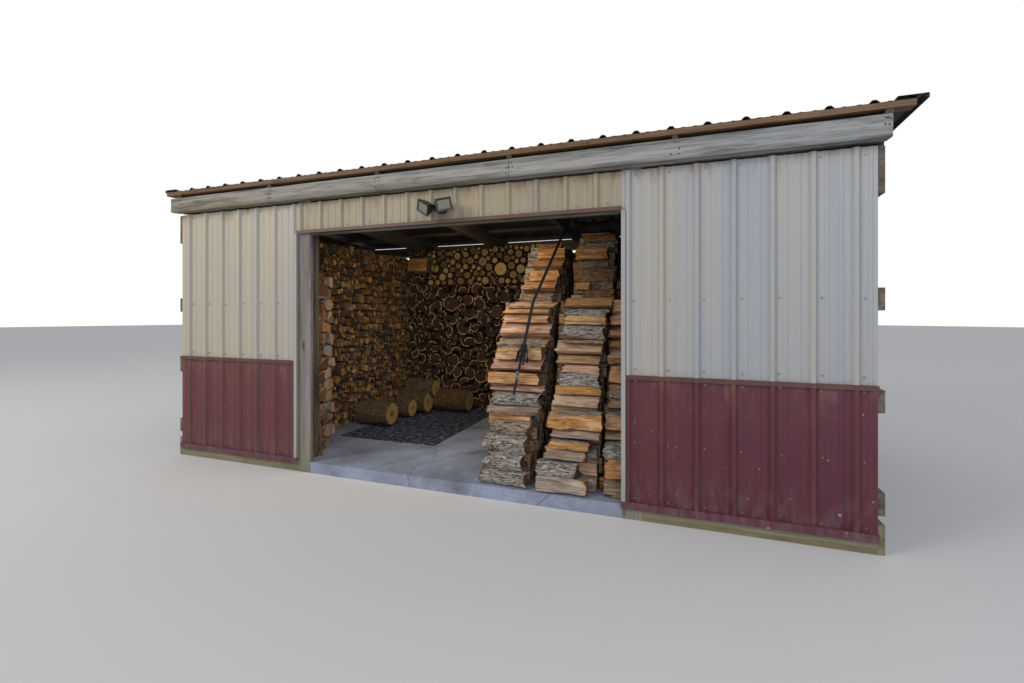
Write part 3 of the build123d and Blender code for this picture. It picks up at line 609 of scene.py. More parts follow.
def flat_log_ends(length, height, width, course, seed, front=None, rounds=0.0, uneven=0.34, wedges=0.0):
    """The log ends of a stack, laid flat: X runs along the stack and Y is up. front(y) is where the
    stack starts at a height; rounds and wedges are the shares of whole rounds and of wedges."""
    gap = sizes().log_gap * (1 + 0.6 * wedges)
    columns = max(2, round(length / width))
    courses = max(2, round(height / course))
    half = length / columns / 2
    step = height / courses
    deselect()
    bpy.ops.mesh.primitive_grid_add(x_subdivisions=2 * columns, y_subdivisions=courses, size=1)
    sheet = bpy.context.object
    sheet.scale = (length, height, 1)
    sheet.location = (length / 2, height / 2, 0)
    apply_place(sheet)
    bpy.ops.object.mode_set(mode="EDIT")
    bpy.ops.mesh.select_mode(type="EDGE")
    mesh = bmesh.from_edit_mesh(sheet.data)
    for edge in mesh.edges:
        first, second = (vert.co for vert in edge.verts)
        upright = abs(first.x - second.x) < half / 4
        column = round((first.x + second.x) / 2 / half)
        row = int((first.y + second.y) / 2 / step)
        edge.select = upright and 0 < column < 2 * columns and (column + row) % 2 == 1
    mesh.select_flush_mode()
    bmesh.update_edit_mesh(sheet.data)
    bpy.ops.mesh.dissolve_edges(use_verts=False)
    bpy.ops.mesh.select_all(action="SELECT")
    bpy.ops.transform.vertex_random(offset=uneven * step, seed=seed)
    mesh = bmesh.from_edit_mesh(sheet.data)
    for vert in mesh.verts:
        vert.co.x = min(max(vert.co.x, 0.0), length)
        vert.co.y = max(vert.co.y, 0.0)
        vert.co.z = 0.0
        if vert.co.y < 0.4 * step:
            vert.co.y = 0.0
    bmesh.update_edit_mesh(sheet.data)
    if front:
        select_faces(sheet, lambda face: face.calc_center_median().x < front(face.calc_center_median().y))
        bpy.ops.mesh.delete(type="FACE")
    rng = np.random.default_rng(seed)
    circles = []
    chosen = set()
    mesh = bmesh.from_edit_mesh(sheet.data)
    mesh.faces.index_update()
    for face in mesh.faces:
        if rng.uniform() < rounds:
            chosen.add(face.index)
            radius = math.sqrt(face.calc_area() / math.pi) * rng.uniform(0.78, 0.95)
            circles.append((face.calc_center_median(), radius))
    select_faces(sheet, lambda face: face.index in chosen)
    bpy.ops.mesh.delete(type="FACE")
    bpy.ops.mesh.select_mode(type="FACE")
    bpy.ops.mesh.select_all(action="DESELECT")
    bpy.ops.mesh.select_random(ratio=sizes().split_share, seed=seed)
    bpy.ops.mesh.quads_convert_to_tris()
    bpy.ops.mesh.tris_convert_to_quads(face_threshold=math.pi, shape_threshold=math.pi)
    bpy.ops.mesh.select_all(action="DESELECT")
    bpy.ops.mesh.select_random(ratio=wedges, seed=seed + 1)
    bpy.ops.mesh.quads_convert_to_tris(quad_method="SHORTEST_DIAGONAL")
    bpy.ops.mesh.select_all(action="SELECT")
    bpy.ops.mesh.inset(thickness=gap / 2, use_individual=True)
    bpy.ops.mesh.select_all(action="INVERT")
    bpy.ops.mesh.delete(type="FACE")
    select_faces(sheet, lambda face: face.calc_area() < 0.08 * width * course)
    bpy.ops.mesh.delete(type="FACE")
    bpy.ops.mesh.select_all(action="SELECT")
    bpy.ops.mesh.bevel(offset=0.08 * width, segments=1, affect="VERTICES", clamp_overlap=True)
    longest = 1.5 * max(width, course)
    select_faces(sheet, lambda face: max(edge.calc_length() for edge in face.edges) > longest)
    bpy.ops.mesh.delete(type="FACE")
    for middle, radius in circles:
        bpy.ops.mesh.primitive_circle_add(vertices=12, radius=radius, fill_type="NGON", location=middle)
    bpy.ops.object.mode_set(mode="OBJECT")
    return sheet


def logs_from_ends(sheet, length, seed, bends=0):
    """Draw flat log ends out into logs of a length, slightly crooked."""
    only(sheet)
    bpy.ops.object.mode_set(mode="EDIT")
    bpy.ops.mesh.select_mode(type="FACE")
    mesh = bmesh.from_edit_mesh(sheet.data)
    for face in mesh.faces:
        if face.normal.z > 0:
            face.normal_flip()
    bmesh.update_edit_mesh(sheet.data)
    bpy.ops.mesh.select_all(action="SELECT")
    bpy.ops.mesh.extrude_region_move(TRANSFORM_OT_translate={"value": (0, 0, length)})
    bpy.ops.mesh.select_all(action="SELECT")
    bpy.ops.mesh.normals_make_consistent(inside=False)
    cut_across([(0, 0, length * (index + 1) / (bends + 1)) for index in range(bends)], (0, 0, 1))
    select_faces(sheet, lambda face: abs(face.normal.z) > 0.9)
    bpy.ops.mesh.poke()
    bpy.ops.mesh.select_all(action="SELECT")
    bpy.ops.transform.vertex_random(offset=0.004, seed=seed)
    bpy.ops.object.mode_set(mode="OBJECT")
    return sheet


def log_numbers(mesh):
    """Which log each vertex belongs to, from 0 up."""
    ends = np.empty(2 * len(mesh.edges), int)
    mesh.edges.foreach_get("vertices", ends)
    first, second = ends[::2], ends[1::2]
    numbers = np.arange(len(mesh.vertices))
    while True:
        lowest = np.minimum(numbers[first], numbers[second])
        fresh = numbers.copy()
        np.minimum.at(fresh, first, lowest)
        np.minimum.at(fresh, second, lowest)
        if np.array_equal(fresh, numbers):
            return np.unique(numbers, return_inverse=True)[1]
        numbers = fresh


def read_values(items, name, width=1, kind=float):
    """A numpy table of one property of a mesh's items."""
    values = np.empty(width * len(items), kind)
    items.foreach_get(name, values)
    return values.reshape(-1, width) if width > 1 else values


def store_log_values(mesh, grain, tone, rim=None):
    """Keep each vertex's place in its own log, its log's tone, and where bark meets a cut face. A
    round keeps its radius as the rim; on other logs the rim is 1 at the bark and 0 elsewhere."""
    corners = read_values(mesh.loops, "vertex_index", kind=int)
    kinds = read_values(mesh.polygons, "material_index", kind=int)
    totals = read_values(mesh.polygons, "loop_total", kind=int)
    if rim is None:
        rim = np.zeros(len(mesh.vertices))
        rim[corners[np.repeat(kinds, totals) == 0]] = 1.0
        rim[corners[np.repeat(kinds, totals) == 1]] = 0.0
    mesh.attributes.new("grain", "FLOAT_VECTOR", "POINT").data.foreach_set("vector", grain.ravel())
    mesh.attributes.new("tone", "FLOAT", "POINT").data.foreach_set("value", tone)
    mesh.attributes.new("rim", "FLOAT", "POINT").data.foreach_set("value", rim)


def mark_logs(piece, seed, bark_share, materials, uneven=0.010, heap=(), askew=0.0, on_floor=True):
    """Give each log its shift, tone and grain, and its faces bark, riven wood or a sawn end. Logs of
    a heap of rounds have bark where they are round; of other logs a random side is bark. Logs that
    are on the floor don't reach below the flat sheet's lower edge."""
    give_materials(piece, materials)
    mesh = piece.data
    co = read_values(mesh.vertices, "co", 3)
    numbers = log_numbers(mesh)
    count = numbers.max() + 1
    rng = np.random.default_rng(seed)
    tally = np.bincount(numbers)
    middle = np.stack([np.bincount(numbers, co[:, axis]) / tally for axis in (0, 1)], 1)
    reach = np.linalg.norm(co[:, :2] - middle[numbers], axis=1)
    furthest = np.zeros(count)
    np.maximum.at(furthest, numbers, reach)
    thin = np.full(count, 9.0)
    outer = reach > 0.3 * furthest[numbers]
    np.minimum.at(thin, numbers[outer], reach[outer])
    is_round = thin > 0.7 * furthest
    turn = rng.uniform(0, 2 * math.pi, count)
    bark_way = np.stack([np.cos(turn), np.sin(turn)], 1)
    pith = np.where(is_round[:, None], middle, middle - bark_way * furthest[:, None])
    rim = None
    if heap:
        rounds = np.array(heap)
        apart = np.hypot(middle[:, None, 0] - rounds[:, 0], middle[:, None, 1] - rounds[:, 1]) / rounds[:, 2]
        own = rounds[apart.argmin(1)]
        pith = own[:, :2]
        rim = own[numbers, 2]
    grain = np.column_stack([co[:, :2] - pith[numbers], co[:, 2]])
    if heap:
        swing = rng.uniform(-1.3, 1.3, count) * np.where(is_round, 0.0, 1.0)
        shrink = rng.uniform(0.93, 1.0, count)
    else:
        swing = rng.normal(0, askew, count)
        shrink = 1 - 0.3 * np.abs(swing)
    cos, sin = (np.cos(swing) * shrink)[numbers], (np.sin(swing) * shrink)[numbers]
    x, y = (co[:, :2] - middle[numbers]).T
    co[:, :2] = middle[numbers] + np.stack([cos * x - sin * y, sin * x + cos * y], 1)
    if on_floor:
        co[:, 1] = np.maximum(co[:, 1], 0.0)
    mesh.vertices.foreach_set("co", co.ravel())
    mesh.update()
    limit = np.where(rng.uniform(size=count) < bark_share, -0.1, 0.75)
    limit = np.where(is_round, -2.0, limit)
    shift = np.clip(rng.normal(0, uneven, count), -0.024, 0.024)
    pushed = np.clip(rng.normal(-0.5 * uneven, 1.4 * uneven, count), -0.045, 0.024)
    co[:, 2] += np.where(co[:, 2] > co[:, 2].mean(), pushed[numbers], shift[numbers])
    mesh.vertices.foreach_set("co", co.ravel())
    normals = read_values(mesh.polygons, "normal", 3)
    first_corner = read_values(mesh.polygons, "loop_start", kind=int)
    log = numbers[read_values(mesh.loops, "vertex_index", kind=int)[first_corner]]
    facing = (normals[:, :2] * bark_way[log]).sum(1)
    kind = np.where(facing > limit[log], 0, 1)
    if heap:
        widths = read_values(mesh.polygons, "area") / np.ptp(co[:, 2])
        kind = np.where(widths < 0.55 * own[log, 2], 0, 1)
    kind = np.where(np.abs(normals[:, 2]) > 0.75, 2, kind)
    mesh.polygons.foreach_set("material_index", kind)
    store_log_values(mesh, grain, rng.uniform(0, 1, count)[numbers], rim)
    mesh.update()
    only(piece)
    bpy.ops.object.shade_smooth_by_angle(angle=math.radians(38))
    return piece


def heap_of_rounds(length, height, radii, seed, placed=()):
    """Middles and radii of rounds that are laid one by one on the lowest free place of a stack."""
    rng = np.random.default_rng(seed)
    heap = [list(each) for each in placed]
    for radius in radii:
        across = rng.uniform(radius, length - radius, 60)
        others = np.array(heap or [(-9.0, 0.0, 0.0)])
        apart = np.abs(across[:, None] - others[:, 0])
        reach = others[:, 2] + radius
        lift = np.sqrt(np.clip(reach ** 2 - apart ** 2, 0, None))
        rest = np.where(apart < reach, others[:, 1] + lift, radius).max(1)
        rest = np.maximum(rest, radius)
        lowest = rest.argmin()
        if rest[lowest] + 0.7 * radius < height:
            heap.append([across[lowest], rest[lowest], radius])
    heap = np.array(heap)
    for x, y in rng.uniform((0.01, 0.01), (length - 0.01, height - 0.01), (12000, 2)):
        free = (np.hypot(heap[:, 0] - x, heap[:, 1] - y) - heap[:, 2]).min()
        if free > 0.008:
            heap = np.vstack([heap, (x, y, min(free, 0.030))])
    return heap.tolist()


def flat_round_ends(heap, seed, split_share):
    """The ends of a heap of rounds, laid flat, with a share of the rounds split into halves or less."""
    rng = np.random.default_rng(seed)
    deselect()
    bpy.ops.mesh.primitive_circle_add(fill_type="NGON")
    sheet = bpy.context.object
    bpy.ops.object.mode_set(mode="EDIT")
    bpy.ops.mesh.select_mode(type="FACE")
    bpy.ops.mesh.select_all(action="SELECT")
    bpy.ops.mesh.delete(type="FACE")
    for x, y, radius in heap:
        bpy.ops.mesh.primitive_circle_add(vertices=14, radius=radius, fill_type="NGON", location=(x, y, 0))
        if rng.uniform() > split_share:
            continue
        turn = rng.uniform(0, math.pi)
        across = Vector((math.cos(turn), math.sin(turn), 0))
        middle = Vector((x, y, 0)) + across * radius * rng.uniform(-0.25, 0.25)
        bpy.ops.mesh.bisect(plane_co=middle, plane_no=across)
        if rng.uniform() < 0.35:
            bpy.ops.mesh.select_linked()
            bpy.ops.mesh.bisect(plane_co=middle, plane_no=(-across.y, across.x, 0))
    bpy.ops.mesh.select_all(action="SELECT")
    bpy.ops.mesh.inset(thickness=sizes().log_gap * 0.35, use_individual=True)
    bpy.ops.mesh.select_all(action="INVERT")
    bpy.ops.mesh.delete(type="FACE")
    bpy.ops.object.mode_set(mode="OBJECT")
    return sheet


def along_x(x, y, z):
    """Place for a stack whose logs lie along X: the flat sheet's X is the store's Y."""
    return Matrix(((0, 0, 1, x), (1, 0, 0, y), (0, 1, 0, z), (0, 0, 0, 1)))


def along_y(x, y, z):
    """Place for a stack whose logs lie along Y, from y towards the front."""
    return Matrix(((1, 0, 0, x), (0, 0, -1, y), (0, 1, 0, z), (0, 0, 0, 1)))


# The ways a round is split, as flat cuts: how far each cut faces the front and up, and how far it
# lies from the middle of a round of radius 1
SPLITS = {
    "bark": ((0.0, -1.0, 0.5), (-1.0, 0.0, 0.6)),
    "face": ((0.62, 0.78, 0.12), (0.45, -0.89, 0.4), (-1.0, 0.0, 0.8)),
    "edge": ((1.0, 0.05, 0.5), (0.0, -1.0, 0.2), (-1.0, 0.0, 0.7)),
    "slab": ((0.22, 0.97, 0.2), (0.0, -1.0, 0.3), (-1.0, 0.0, 0.8)),
    "split": ((0.9, 0.43, 0.3), (0.1, -0.99, 0.45), (-0.25, 0.97, 0.5), (-1.0, 0.0, 0.8)),
}


def split_log(kind, seed):
    """A round of radius and length 1 that is split by flat cuts, with its fibres standing out."""
    deselect()
    bpy.ops.mesh.primitive_cylinder_add(vertices=18, radius=1, depth=1, end_fill_type="NGON")
    piece = bpy.context.object
    piece.name = kind + "_pattern"
    give_materials(piece, firewood_materials("row"))
    piece.rotation_euler = (0, math.pi / 2, 0)
    apply_place(piece)
    bpy.ops.object.mode_set(mode="EDIT")
    normals = [Vector((0, -front, up)).normalized() for front, up, _ in SPLITS[kind]]
    for normal, (_, _, distance) in zip(normals, SPLITS[kind]):
        bpy.ops.mesh.select_all(action="SELECT")
        bpy.ops.mesh.bisect(plane_co=normal * distance, plane_no=normal, use_fill=True, clear_outer=True)
    bpy.ops.object.mode_set(mode="OBJECT")
    for face in piece.data.polygons:
        is_cut = any(face.normal.dot(normal) > 0.998 for normal in normals)
        face.material_index = 2 if abs(face.normal.x) > 0.9 else int(is_cut)
    bpy.ops.object.mode_set(mode="EDIT")
    cut_across([(index / 12 - 0.5, 0, 0) for index in range(1, 12)], (1, 0, 0))
    for place in (-0.6, -0.35, -0.1, 0.15, 0.4):
        cut_across([(0, place, place)], (0, 1, 0))
        cut_across([(0, place, place)], (0, 0, 1))
    bpy.ops.object.mode_set(mode="OBJECT")
    fibres = bpy.data.textures.new(piece.name, "CLOUDS")
    fibres.noise_scale = 0.42
    fibres.noise_depth = 4
    push = piece.modifiers.new("fibres", "DISPLACE")
    push.texture = fibres
    push.texture_coords = "LOCAL"
    push.strength = 0.42 if kind in ("bark", "edge") else 0.26
    push.mid_level = 0.5
    piece.data.transform(Matrix.Translation((seed * 3.7, seed * 1.3, 0)))
    bpy.ops.object.modifier_apply(modifier=push.name)
    return piece


def front_logs(table, row_left, row_front, floor, set_back, seed):
    """The logs across the front of a row, from a table of their places on it in millimetres."""
    rng = np.random.default_rng(seed)
    pieces = []
    for left, right, bottom, top, kind, tone in table:
        pattern = bpy.data.objects[kind + "_pattern" + rng.choice(PATTERN_ENDS)]
        corners = np.array([corner[:] for corner in pattern.bound_box])
        low, high = corners.min(0), corners.max(0)
        height = (top - bottom) / 1000
        depth = min(0.19, max(0.12, 1.5 * height))
        size = np.array([(right - left) / 1000, depth, height * 1.16])
        scale = size / (high - low)
        front = row_front + set_back(bottom / 1000) + rng.uniform(-0.012, 0.014)
        corner = Vector((row_left + left / 1000, front, floor + bottom / 1000))
        turn = Matrix.Rotation(rng.uniform(-0.035, 0.035), 4, "Z") @ Matrix.Rotation(
            rng.uniform(-0.012, 0.012), 4, "Y"
        )
        shape = Matrix.Diagonal((*scale, 1)) @ Matrix.Translation(-Vector(low))
        place = Matrix.Translation(corner) @ turn @ shape
        piece = copy_to(pattern, place)
        co = read_values(piece.data.vertices, "co", 3)
        own = co - co.mean(0) + rng.uniform(-3, 3, 3) * (0, 0, 1)
        store_log_values(piece.data, own[:, (1, 2, 0)], np.full(len(co), tone))
        pieces.append(piece)
    made = join(pieces)
    bpy.ops.object.shade_smooth_by_angle(angle=math.radians(42))
    return made


def chance_front(height, width, seed, tones=(0.0, 1.0)):
    """A table of front logs, course by course, for a row that is a certain height."""
    rng = np.random.default_rng(seed)
    table = []
    bottom = 0.0
    while bottom < height - 30:
        thick = min(rng.uniform(55, 140), height - bottom)
        left = rng.uniform(-22, 22)
        kind = rng.choice(list(SPLITS), p=(0.22, 0.34, 0.16, 0.10, 0.18))
        right = left + width + rng.uniform(-25, 10)
        table.append((left, right, bottom, bottom + thick, kind, rng.uniform(*tones)))
        bottom += thick
    return table


# Front logs of the two rows beside the aisle, from the floor up: left end, right end, bottom and top
# in millimetres from the row's left edge and the floor, kind of split, and tone
ROW_A_FRONT = (
    (-38, 421, 0, 112, "bark", 0.30), (-15, 375, 108, 232, "bark", 0.15),
    (-20, 384, 230, 370, "bark", 0.20), (25, 396, 368, 484, "bark", 0.60),
    (7, 402, 482, 530, "split", 0.25), (-26, 466, 525, 592, "slab", 0.75),
    (-26, 469, 588, 696, "bark", 0.25), (-43, 500, 694, 764, "face", 0.02),
    (-48, 440, 760, 852, "split", 0.22), (-51, 440, 850, 970, "face", 0.03),
    (-15, 438, 968, 1078, "edge", 0.50), (-19, 462, 1076, 1142, "slab", 0.48),
    (-8, 490, 1139, 1292, "face", 0.05), (9, 480, 1289, 1352, "split", 0.15),
    (15, 471, 1349, 1427, "face", 0.40), (39, 500, 1424, 1466, "slab", 0.50),
    (-1, 380, 1481, 1570, "bark", 0.70), (20, 390, 1565, 1708, "face", 0.22),
    (59, 400, 1705, 1820, "edge", 0.30), (72, 420, 1816, 1942, "face", 0.28),
    (110, 440, 1939, 2048, "split", 0.26), (100, 400, 2045, 2118, "bark", 0.90),
)
ROW_B_FRONT = (
    (-7, 402, 0, 100, "split", 0.75), (-27, 343, 95, 204, "bark", 0.05),
    (18, 379, 199, 306, "face", 0.76), (44, 412, 303, 368, "edge", 0.25),
    (75, 482, 364, 456, "face", 0.78), (28, 495, 452, 584, "edge", 0.25),
    (49, 452, 582, 708, "face", 0.92), (80, 471, 706, 772, "split", 0.25),
    (69, 463, 768, 880, "bark", 0.02), (107, 453, 878, 938, "split", 0.08),
    (57, 440, 936, 1010, "face", 0.55), (46, 464, 1006, 1128, "face", 0.95),
    (90, 470, 1125, 1155, "slab", 0.25), (87, 480, 1151, 1274, "bark", 0.10),
    (94, 490, 1271, 1352, "split", 0.50), (87, 500, 1350, 1408, "bark", 0.15),
    (82, 520, 1404, 1500, "face", 0.38), (150, 497, 1500, 1600, "bark", 0.90),
    (90, 240, 1600, 1672, "split", 0.30), (91, 507, 1670, 1824, "bark", 0.80),
    (68, 418, 1821, 1906, "bark", 0.60), (41, 402, 1904, 2036, "split", 0.30),
    (52, 473, 2034, 2114, "bark", 0.40), (101, 467, 2112, 2196, "bark", 0.95),
    (75, 396, 2196, 2232, "slab", 0.60),
)


FIREWOOD = {
    "row": (
        ("#A09A90", "#3A3028", "#A8702E", 0.6), ("#CCA28C", "#BC8448", "#C8A06E", "#9E9286", "#D8BA98"),
        ("#A08A6A", "#3A2E24", "#6A4A2E", "#84603A", "#503822"),
    ),
    "left": (
        ("#7E7466", "#2A221A", "#7A5A36", 0.2), ("#8A6238", "#A07840", "#6E4A2C"),
        (
            "#3E2E20", "#6A4A28", "#D0A058", "#1C130C", "#ECC078", "#38281A", "#A87E44", "#1A120C", "#DCAC62",
            "#523A20",
        ),
    ),
    "back": (
        ("#3E3026", "#18110B", "#3A2418", 0.05), ("#4A2C1A", "#58341E", "#3A2114"),
        ("#D6BA86", "#1C0C08", "#2E170E", "#442616", "#22100B", "#4A301E"),
    ),
    "pale": (
        ("#6E5C42", "#241C14", "#5E4A2E", 0.1), ("#A07A4A", "#8A6238"),
        ("#3A2C1C", "#A08450", "#5E4828", "#C0A066", "#7E6238", "#CCAE74", "#8A6C40"),
    ),
    "loose": (
        ("#6E5A3C", "#241A10", "#6E5430", 0.15), ("#A07A4A", "#8A6238"),
        ("#3A2C1C", "#AC8C54", "#C4A468", "#B49658"),
    ),
    "pillar": (
        ("#9C968C", "#463D34", "#8E6636", 0.5), ("#B8A088", "#B07F4C", "#BCA080"),
        ("#5A4A3A", "#98928A", "#B07C4A", "#A8A096", "#7A5E44", "#C0A88A"),
    ),
}


def firewood_materials(kind):
    """Bark, riven wood and sawn ends for one kind of stack, made once."""
    names = [kind + part for part in ("_bark", "_riven_wood", "_sawn_ends")]
    if names[0] not in bpy.data.materials:
        barks, riven, ends = FIREWOOD[kind]
        bark(names[0], *barks)
        riven_wood(names[1], *riven)
        sawn_ends(names[2], kind in ("back", "pale", "loose"), kind == "back", *ends)
    return [bpy.data.materials[name] for name in names]


def stack_along_x(low, high, width, course, seed, kind, front=None, bark_share=0.4, uneven=0.34, wedges=0.0):
    """A stack whose logs lie along X, between two corners."""
    size = sizes()
    ends = flat_log_ends(high[1] - low[1], high[2] - low[2], width, course, seed, front, 0.03, uneven, wedges)
    logs_from_ends(ends, size.log_length - 0.03, seed)
    depths = 0.010 + 0.006 * (wedges > 0)
    mark_logs(ends, seed, bark_share, firewood_materials(kind), depths, askew=0.3 * wedges)
    ends.data.transform(along_x(low[0], low[1], low[2]))
    return ends


class STORE_OT_stage(bpy.types.Operator):
    """Set the pale floor, the soft light and the camera"""

    bl_idname = "store.stage"
    bl_label = "Stage"

    def execute(self, context):
        scene = context.scene
        scene.view_settings.view_transform = "Standard"
        deselect()
        bpy.ops.mesh.primitive_circle_add(vertices=96, radius=70, fill_type="NGON", location=(0, 0, 0))
        floor = context.object
        floor.name = "studio_floor"
        material, tree, shader, _ = new_material("matt_studio_floor", 0.9)
        shader.inputs["Base Color"].default_value = linear("#DEDEDC")
        floor.data.materials.append(material)
        world = bpy.data.worlds.new("studio")
        scene.world = world
        world.use_nodes = True
        tree = world.node_tree
        tree.nodes.clear()
        light = node(tree, "Background", {"Color": linear("#F4F7FF"), "Strength": 0.48})
        white = node(tree, "Background", {"Color": (1, 1, 1, 1), "Strength": 1.0})
        path = node(tree, "LightPath").outputs
        seen = path["Is Camera Ray"]
        for ray in ("Is Glossy Ray", "Is Transmission Ray"):
            seen = node(tree, "Math", {0: seen, 1: path[ray]}, operation="MAXIMUM").outputs[0]
        both = node(tree, "MixShader", {0: seen, 1: light.outputs[0], 2: white.outputs[0]})
        out = node(tree, "OutputWorld", {"Surface": both.outputs[0]})
        tree.nodes.active = out
        for name, place, aim, power, size, tint in (
            ("key", (-9.5, -10.5, 7.5), (0, 0, 1.2), 700, 5.5, "#FFF8EE"),
            ("fill", (6.5, -9.5, 5.0), (1.5, 0, 1.2), 300, 6.0, "#EEF2FF"),
            ("doorway", (-0.2, -1.0, 2.3), (-0.8, 0.9, 0.7), 17, 1.3, "#FFE9CC"),
        ):
            lamp = bpy.data.lights.new(name, "AREA")
            lamp.energy = power
            lamp.size = size
            lamp.color = linear(tint)[:3]
            holder = bpy.data.objects.new(name, lamp)
            scene.collection.objects.link(holder)
            holder.location = place
            holder.visible_camera = False
            holder.rotation_euler = (Vector(aim) - Vector(place)).to_track_quat("-Z", "Y").to_euler()
        camera = bpy.data.objects.new("camera", bpy.data.cameras.new("camera"))
        scene.collection.objects.link(camera)
        camera.location = (1.847, -4.915, 1.475)
        camera.rotation_euler = Euler((math.radians(90), 0, math.radians(19.5)))
        camera.data.lens = 16.17
        camera.data.sensor_width = 36.0
        camera.data.shift_y = -0.0273
        scene.camera = camera
        return {"FINISHED"}


class STORE_OT_metal(bpy.types.Operator):
    """Coat the siding, the wainscot, the trims and the roof sheets"""

    bl_idname = "store.metal"
    bl_label = "Metal finishes"

    def execute(self, context):
        paint = colours()
        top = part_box("siding_left")[1].z
        drips = ("#7E5530", top - 0.13, top, 0.2)
        # The cool grey is the faded coat and also painted sky reflection, drawn in at the right and in the
        # rib bands
        tan = coated_steel("tan_polyester_coat", paint.tan, linear("#9DA2A7"), *drips)
        for name in ("siding_left", "siding_right"):
            coat_node(name, tan)
        yellowed = mixed_hex(paint.tan, "#968557", 0.5)
        over = coated_steel("yellowed_tan_coat", yellowed, linear("#968D7B"), *drips)
        coat_node("siding_over_door", over)
        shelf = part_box("wainscot_left")[1].z
        # Painted reflection: the pinkish-brown blots over the top 0.30 m of the wainscot stand in for a
        # reflection
        red = coated_steel(
            "burgundy_polyester_coat", paint.burgundy, linear("#541E32"), "#7A5044", shelf - 0.30, shelf, 0.7
        )
        for name in ("wainscot_left", "wainscot_right"):
            coat_node(name, red)
        purple = coated_steel(
            "purple_burgundy_coat", linear("#5A2A3C"), linear("#62323F"), "#7A5044", 0.9, 1.0, 0.9
        )
        coat_node("base_trims", purple)
        faded = coated_steel("faded_burgundy_coat", paint.header, linear("#60453B"), "#5A3A2A", 1.9, 2.3, 0.3)
        coat_node("header_trim", faded)
        dull = coated_steel(
            "dull_burgundy_coat", linear("#4E2C2C"), linear("#5A3634"), "#5E4034", 0.9, 1.0, 0.3
        )
        coat_node("wainscot_trims", dull)
        pale = coated_steel("pale_tan_coat", linear("#ACA89E"), linear("#9C9FA2"), "#8A6A4A", 1.9, 2.3, 0.3)
        coat_node("jamb_trims", pale)
        zinc = zinc_sheet("zinc_roof_sheet", paint.zinc)
        for name in ("roof_sheets", "left_rake_trim", "right_rake_trim"):
            coat_node(name, zinc)
        return {"FINISHED"}


class STORE_OT_timber(bpy.types.Operator):
    """Finish the posts, boards, beams, rafters and purlins"""

    bl_idname = "store.timber"
    bl_label = "Timber"

    def execute(self, context):
        wood = colours()
        frame_x = sawn_timber("frame_softwood_x", wood.frame_wood, "#33291F", "x")
        frame_y = sawn_timber("frame_softwood_y", wood.frame_wood, "#33291F", "y")
        frame_z = sawn_timber("frame_softwood_z", wood.frame_wood, "#261E17", "z", algae=0.4, grey=0.15)
        treated_x = sawn_timber("treated_softwood_x", wood.treated, "#5E5640", "x", algae=0.25)
        treated_y = sawn_timber("treated_softwood_y", wood.treated, "#5E5640", "y", algae=0.25)
        # Painted light: the beam is drawn towards a cool blue-grey at its right end
        silver_x = sawn_timber(
            "silvered_softwood_x", wood.beam, "#4C4A46", "x", grey=0.8, right_painted_sky_light="#8F96A0"
        )
        # Painted shade: darker copies of the frame timber for the rafters and purlins under the roof
        shaded_x = sawn_timber("shaded_softwood_x", linear("#40352B"), "#241C15", "x", grey=0.1)
        shaded_y = sawn_timber("shaded_softwood_y", linear("#40352B"), "#241C15", "y", grey=0.1)
        brown_x = sawn_timber("brown_softwood_x", wood.purlin, "#4A2F1C", "x", grey=0.15)
        jamb_z = sawn_timber("weathered_jamb_softwood", wood.jamb, "#645A5A", "z", algae=0.6, grey=0.25)
        coats = {
            "front_girts": frame_x, "back_girts": frame_x, "back_plate": frame_x, "header_board": frame_x,
            "left_side_girts": frame_y, "right_side_girts": frame_y, "left_side_plate": frame_y,
            "right_side_plate": frame_y, "rafters": shaded_y, "corner_posts": frame_z, "jamb_posts": frame_z,
            "back_posts": frame_z, "front_skirt_boards": treated_x, "back_skirt_board": treated_x,
            "side_skirt_boards": treated_y, "back_beam": silver_x, "roof_purlins": shaded_x,
            "back_purlin": shaded_x, "right_jamb_board": jamb_z,
        }
        for name, material in coats.items():
            coat_node(name, material)
        self.beam(silver_x)
        self.purlin(brown_x)
        low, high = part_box("left_jamb_board")
        board = worn_board(low, high, 5, cuts=30)
        finish_piece(board, "left_jamb_timber", [jamb_z], ["left_jamb_board"])
        return {"FINISHED"}

    def beam(self, material):
        """Two plies, each of three boards end to end, with their joints over different rafters."""
        low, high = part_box("front_beam")
        middle = (low.y + high.y) / 2
        boards = []
        for ply, (front, back, joints) in enumerate((
            (low.y, middle - 0.001, (-1.735, 0.653)),
            (middle + 0.001, high.y, (-0.541, 1.847)),
        )):
            stops = [low.x, *joints, high.x]
            for index in range(3):
                start = Vector((stops[index] + 0.001, front, low.z + 0.003 * ((index + ply) % 2)))
                end = Vector((stops[index + 1] - 0.001, back, high.z - 0.002 * (index % 2)))
                boards.append(worn_board(start, end, 11 + 3 * ply + index))
        finish_piece(join(boards), "front_beam_boards", [material], ["front_beam"])

    def purlin(self, material):
        """The board under the roof's front edge, in three lengths."""
        low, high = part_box("front_purlin")
        boards = []
        stops = (low.x, -1.13, 1.26, high.x)
        for index in range(3):
            start = Vector((stops[index] + 0.001, low.y, low.z + 0.004))
            end = Vector((stops[index + 1] - 0.001, high.y, high.z))
            boards.append(worn_board(start, end, 31 + index))
        finish_piece(join(boards), "front_purlin_boards", [material], ["front_purlin"])


